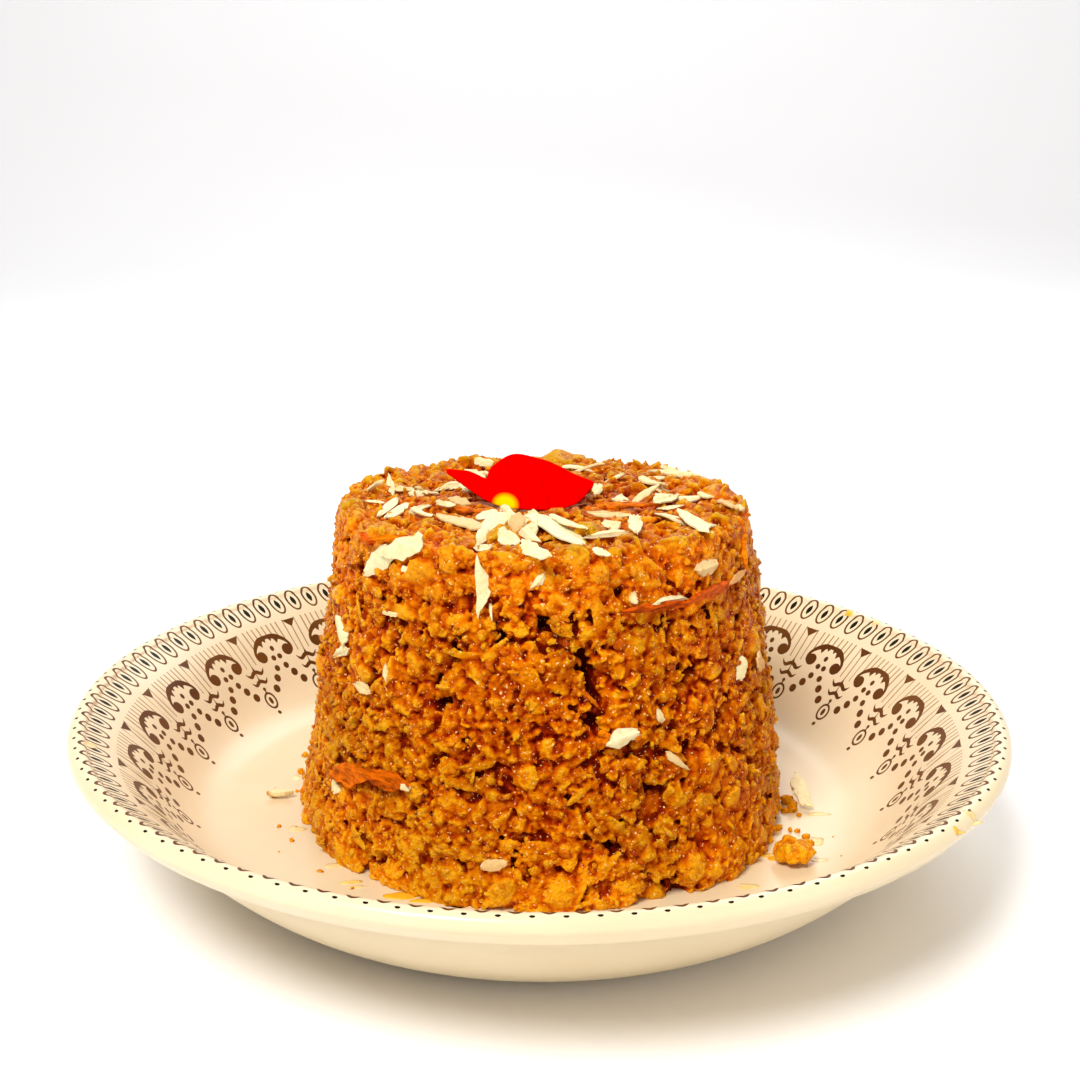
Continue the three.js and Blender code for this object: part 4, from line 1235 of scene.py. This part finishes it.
def make_garnish(ground, material):
    """Flakes where the photograph shows them, and more of them where it can't see."""
    random = np.random.default_rng(31)
    parts, tones = [], []

    def keep(part, tone):
        parts.append(part)
        tones.append(np.full(len(part[0]), np.clip(tone + random.normal(0, 0.05), 0, 1)))

    for x0, y0, x1, y1, width, tone in TOP_FLAKES:
        facing = np.array([random.normal(0, 0.35), -0.75 + random.normal(0, 0.25), 0.8])
        sink = -0.5 if tone < ALMOND_TONE else -0.1
        ends = ((x0, y0), (x1, y1))
        bend = random.normal(0, 0.2)
        keep(lay_in_sight(ground, ends, 0.82 * width, facing, bend, 0.5, sink, random), tone)
    for x0, y0, x1, y1, width, tone in SIDE_FLAKES:
        middle = CAMERA_PLACE + sight(((x0 + x1) / 2, (y0 + y1) / 2)) * SIDE_REACH
        facing = outward(math.degrees(math.atan2(middle[1], middle[0])), 0.2)
        thickness, sink = (0.9, -0.35) if tone < ALMOND_TONE else (0.6, 0.1)
        ends = ((x0, y0), (x1, y1))
        bend = random.normal(0, 0.2)
        keep(lay_in_sight(ground, ends, width, facing, bend, thickness, sink, random), tone)
    for x, y, spread, count in HIDDEN_HEAPS:
        for _ in range(count):
            place = (x + spread * random.normal() * 0.6, y + spread * random.normal() * 0.6, MOUND_TOP)
            facing = (random.normal(0, 0.25), random.normal(0, 0.25), 1)
            keep(lay_at(ground, place, facing, random.uniform(0, math.pi), random.uniform(4, 9),
                        random.uniform(1.4, 2.8), 0.55, random.normal(0, 0.3), random), 0.85)
    for azimuth, height, length, width, roll in HIDDEN_FLAKES:
        way = outward(azimuth)
        place = way * side_radius(height)
        place[2] = height
        keep(lay_at(ground, place, way, math.radians(roll), length, width, 0.7, 0.2, random), 0.8)
    piece = make_piece("nut_flakes", *join(parts), [material], "nut", "palkova", tone=np.concatenate(tones))
    piece.data.set_sharp_from_angle(angle=SHARP_ANGLE)


def make_petal(material):
    """The petal: a thin sheet that thins towards its edge, with veins and a fold beside its wing."""
    along, across = 120, 40
    front, back = smooth_line(PETAL_FRONT, along), smooth_line(PETAL_BACK, along)
    s = np.linspace(0, 1, along)[:, None]
    t = np.linspace(0, 1, across)[None, :]
    middle = front[:, None] * (1 - t[..., None]) + back[:, None] * t[..., None]
    dome = np.sin(math.pi * t) * np.sin(math.pi * s)
    ripple = PETAL_WAVE * np.sin(9 * s) * t + 0.1 * np.sin(23 * s + 3 * t) * t + 0.05 * np.sin(70 * s) * dome
    middle[..., 2] += PETAL_DOME * dome + ripple
    middle[..., 1] -= PETAL_DOME * dome * 0.6
    normals = unit(np.cross(np.gradient(middle, axis=0), np.gradient(middle, axis=1)))
    edge = np.minimum(np.minimum(s, 1 - s) * 30, np.minimum(t, 1 - t) * 10).clip(0, 1)
    half = PETAL_THICKNESS / 2 * (0.25 + 0.75 * np.sqrt(edge))[..., None]
    places = np.concatenate([middle + normals * half, middle - normals * half]).reshape(-1, 3)
    spot = np.linalg.norm((places - PETAL_SPOT) / (1.9, 3.4, 1.5), axis=1)
    make_piece("red_petal", places, shell_quads(along, across), [material], "petal", "petal",
               tone=np.clip(1.4 - spot, 0, 1))


# ---------------------------------------------------------------- what fell on to the bowl


def solid_box(node):
    """Lowest and highest corner of a CAD node, in millimetres."""
    return (np.array(corner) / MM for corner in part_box(node))


def make_fallen_curd(material):
    """The lump of curd that lies in its solid's place."""
    random = np.random.default_rng(41)
    low, high = solid_box("fallen_crumb")
    centre, half = (low + high) / 2, (high - low) / 2
    clump_count, grain_count = 46, 260
    ways = unit(random.normal(size=(grain_count, 3)))
    ways[:, 2] = np.abs(ways[:, 2]) - 0.4
    places = centre + ways[:clump_count] * half * 0.62
    clumps = scatter(icosphere(1), places, random.uniform(0.7, 1.3, clump_count), random, 0.4)
    places = centre + ways * half * random.uniform(0.72, 0.92, (grain_count, 1))
    grains = scatter(icosphere(0), places, random.uniform(0.28, 0.6, grain_count), random, 0.5)
    ball, ball_faces = icosphere(2)
    core = (ball * half * 0.55 + centre - (0, 0, half[2] * 0.3), ball_faces)
    skin, faces = fuse(*join([core, clumps, grains]), 0.24, 0.6)
    skin[:, 2] = np.clip(skin[:, 2], FLOOR_HEIGHT + 0.05, high[2])
    normals = point_normals(skin, faces)
    # Painted light and shade: lighter on proud grains, darker in the hollows between them.
    tone = 0.6 + 1.8 * np.einsum("ij,ij->i", skin - relaxed(skin, faces, 6), normals)
    make_piece("fallen_curd", skin, faces, [material], "curd", "fallen_crumb", normals=normals,
               tone=np.clip(tone, 0, 1))


def make_fallen_nuts(material):
    """The leaning flake and the lying sliver, each in the box of its solid."""
    random = np.random.default_rng(43)
    for name, node, length, width, thickness, turn, lean, tone in FALLEN_NUTS:
        places, faces = flake_shape(length, width, thickness, 0.15, random)
        tip = np.clip(0.55 - (places[:, 0] + length / 2) / 1.2, 0, 1) if tone < 0.9 else 0
        for angle, axis in ((math.radians(lean), 2), (math.radians(turn), 1)):
            spin = np.eye(3)
            spin[0, 0] = spin[axis, axis] = math.cos(angle)
            spin[0, axis], spin[axis, 0] = math.sin(angle), -math.sin(angle)
            places = places @ spin
        low, high = solid_box(node)
        places += (low + high) / 2 - (places.min(0) + places.max(0)) / 2
        places[:, 2] += max(0, low[2] - places[:, 2].min())
        piece = make_piece(name, places, faces, [material], "nut", node, tone=tone - tip)
        piece.data.set_sharp_from_angle(angle=SHARP_ANGLE)


def bowl_spot(bowl, pixel):
    """The point of the bowl behind a pixel of the photograph."""
    return np.array(bowl.ray_cast(Vector(CAMERA_PLACE), Vector(sight(pixel)))[0])


def make_crumbs(bowl, material):
    """Specks of curd on the glaze: those in sight, and a few round the far side."""
    random = np.random.default_rng(47)
    spots = [bowl_spot(bowl, (x, y)) for x, y, _ in SPECKS]
    sizes = [size for _, _, size in SPECKS]
    for azimuth in random.uniform(-10, 190, FAR_CRUMBS):
        angle, reach = math.radians(azimuth), random.uniform(*CRUMB_RING)
        spots.append(np.array([reach * math.cos(angle), reach * math.sin(angle), FLOOR_HEIGHT]))
        sizes.append(random.uniform(0.25, 0.6))
    sizes = np.array(sizes)
    centres = np.array(spots) + np.outer(0.45 * sizes, (0, 0, 1))
    places, faces = scatter(icosphere(2), centres, sizes, random, 0.5, 0.14)
    make_piece("plate_crumbs", places, faces, [material], "curd", None, tone=0.75)


def make_smears(bowl, material):
    """Thin lenses of oil and sweet that lie on the glaze."""
    random = np.random.default_rng(53)
    around, rings, bumps = 24, 3, 10
    parts, tones = [], []
    for x, y, half_x, half_y, tone in SMEARS:
        centre = bowl_spot(bowl, (x, y))
        bulges = random.normal(size=bumps)
        at = np.linspace(0, around, bumps + 1)
        ragged = 1 + 0.25 * np.interp(np.arange(around), at, np.append(bulges, bulges[0]))
        angle = CIRCLE * np.arange(around) / around
        reach = np.stack([half_x * np.cos(angle), half_y * np.sin(angle)], 1) * ragged[:, None]
        top = []
        for share in np.arange(rings + 1) / rings:
            for across, deep in centre[:2] + reach * share:
                hit = bowl.ray_cast(Vector((across, deep, 40)), Vector((0, 0, -1)))[0]
                level = centre[2] if hit is None else hit.z
                top.append((across, deep, level + 0.02 + 0.14 * (1 - tone) * (1 - share ** 2)))
        count = len(top)
        upper = ring_quads(rings + 1, around)[:, [1, 0, 3, 2]]
        last = count - around + np.arange(around)
        after = np.roll(last, -1)
        rim = np.stack([last, count + last, count + after, after], 1)
        places = np.vstack([top, np.array(top) - (0, 0, 0.06)])
        parts.append((places, np.vstack([upper, upper[:, ::-1] + count, rim])))
        tones.append(np.full(2 * count, tone))
    make_piece("oil_smears", *join(parts), [material], "curd", None, tone=np.concatenate(tones))


# ---------------------------------------------------------------- start of the making


make_camera()
make_studio()
make_floor()
bowl = make_bowl(glaze_materials())
curd, nut = curd_material("palkova_curd", CURD_STOPS, 0.07, (0.15, 0.4)), nut_material()
crumb = curd_material("palkova_crumb", LIT_CRUMB_STOPS, 0.07, (0.15, 0.4))
skin, faces, normals, tone = make_mound(curd)
ground = Ground(skin, faces)
grain = curd_material("palkova_grain", CURD_STOPS, 0.3, (0.06, 0.2))
ground.add(*make_loose_grains(skin, normals, tone, grain))
make_petal(petal_material())
make_garnish(ground, nut)
make_fallen_curd(crumb)
make_fallen_nuts(nut)
make_crumbs(bowl, crumb)
make_smears(bowl, smear_material())
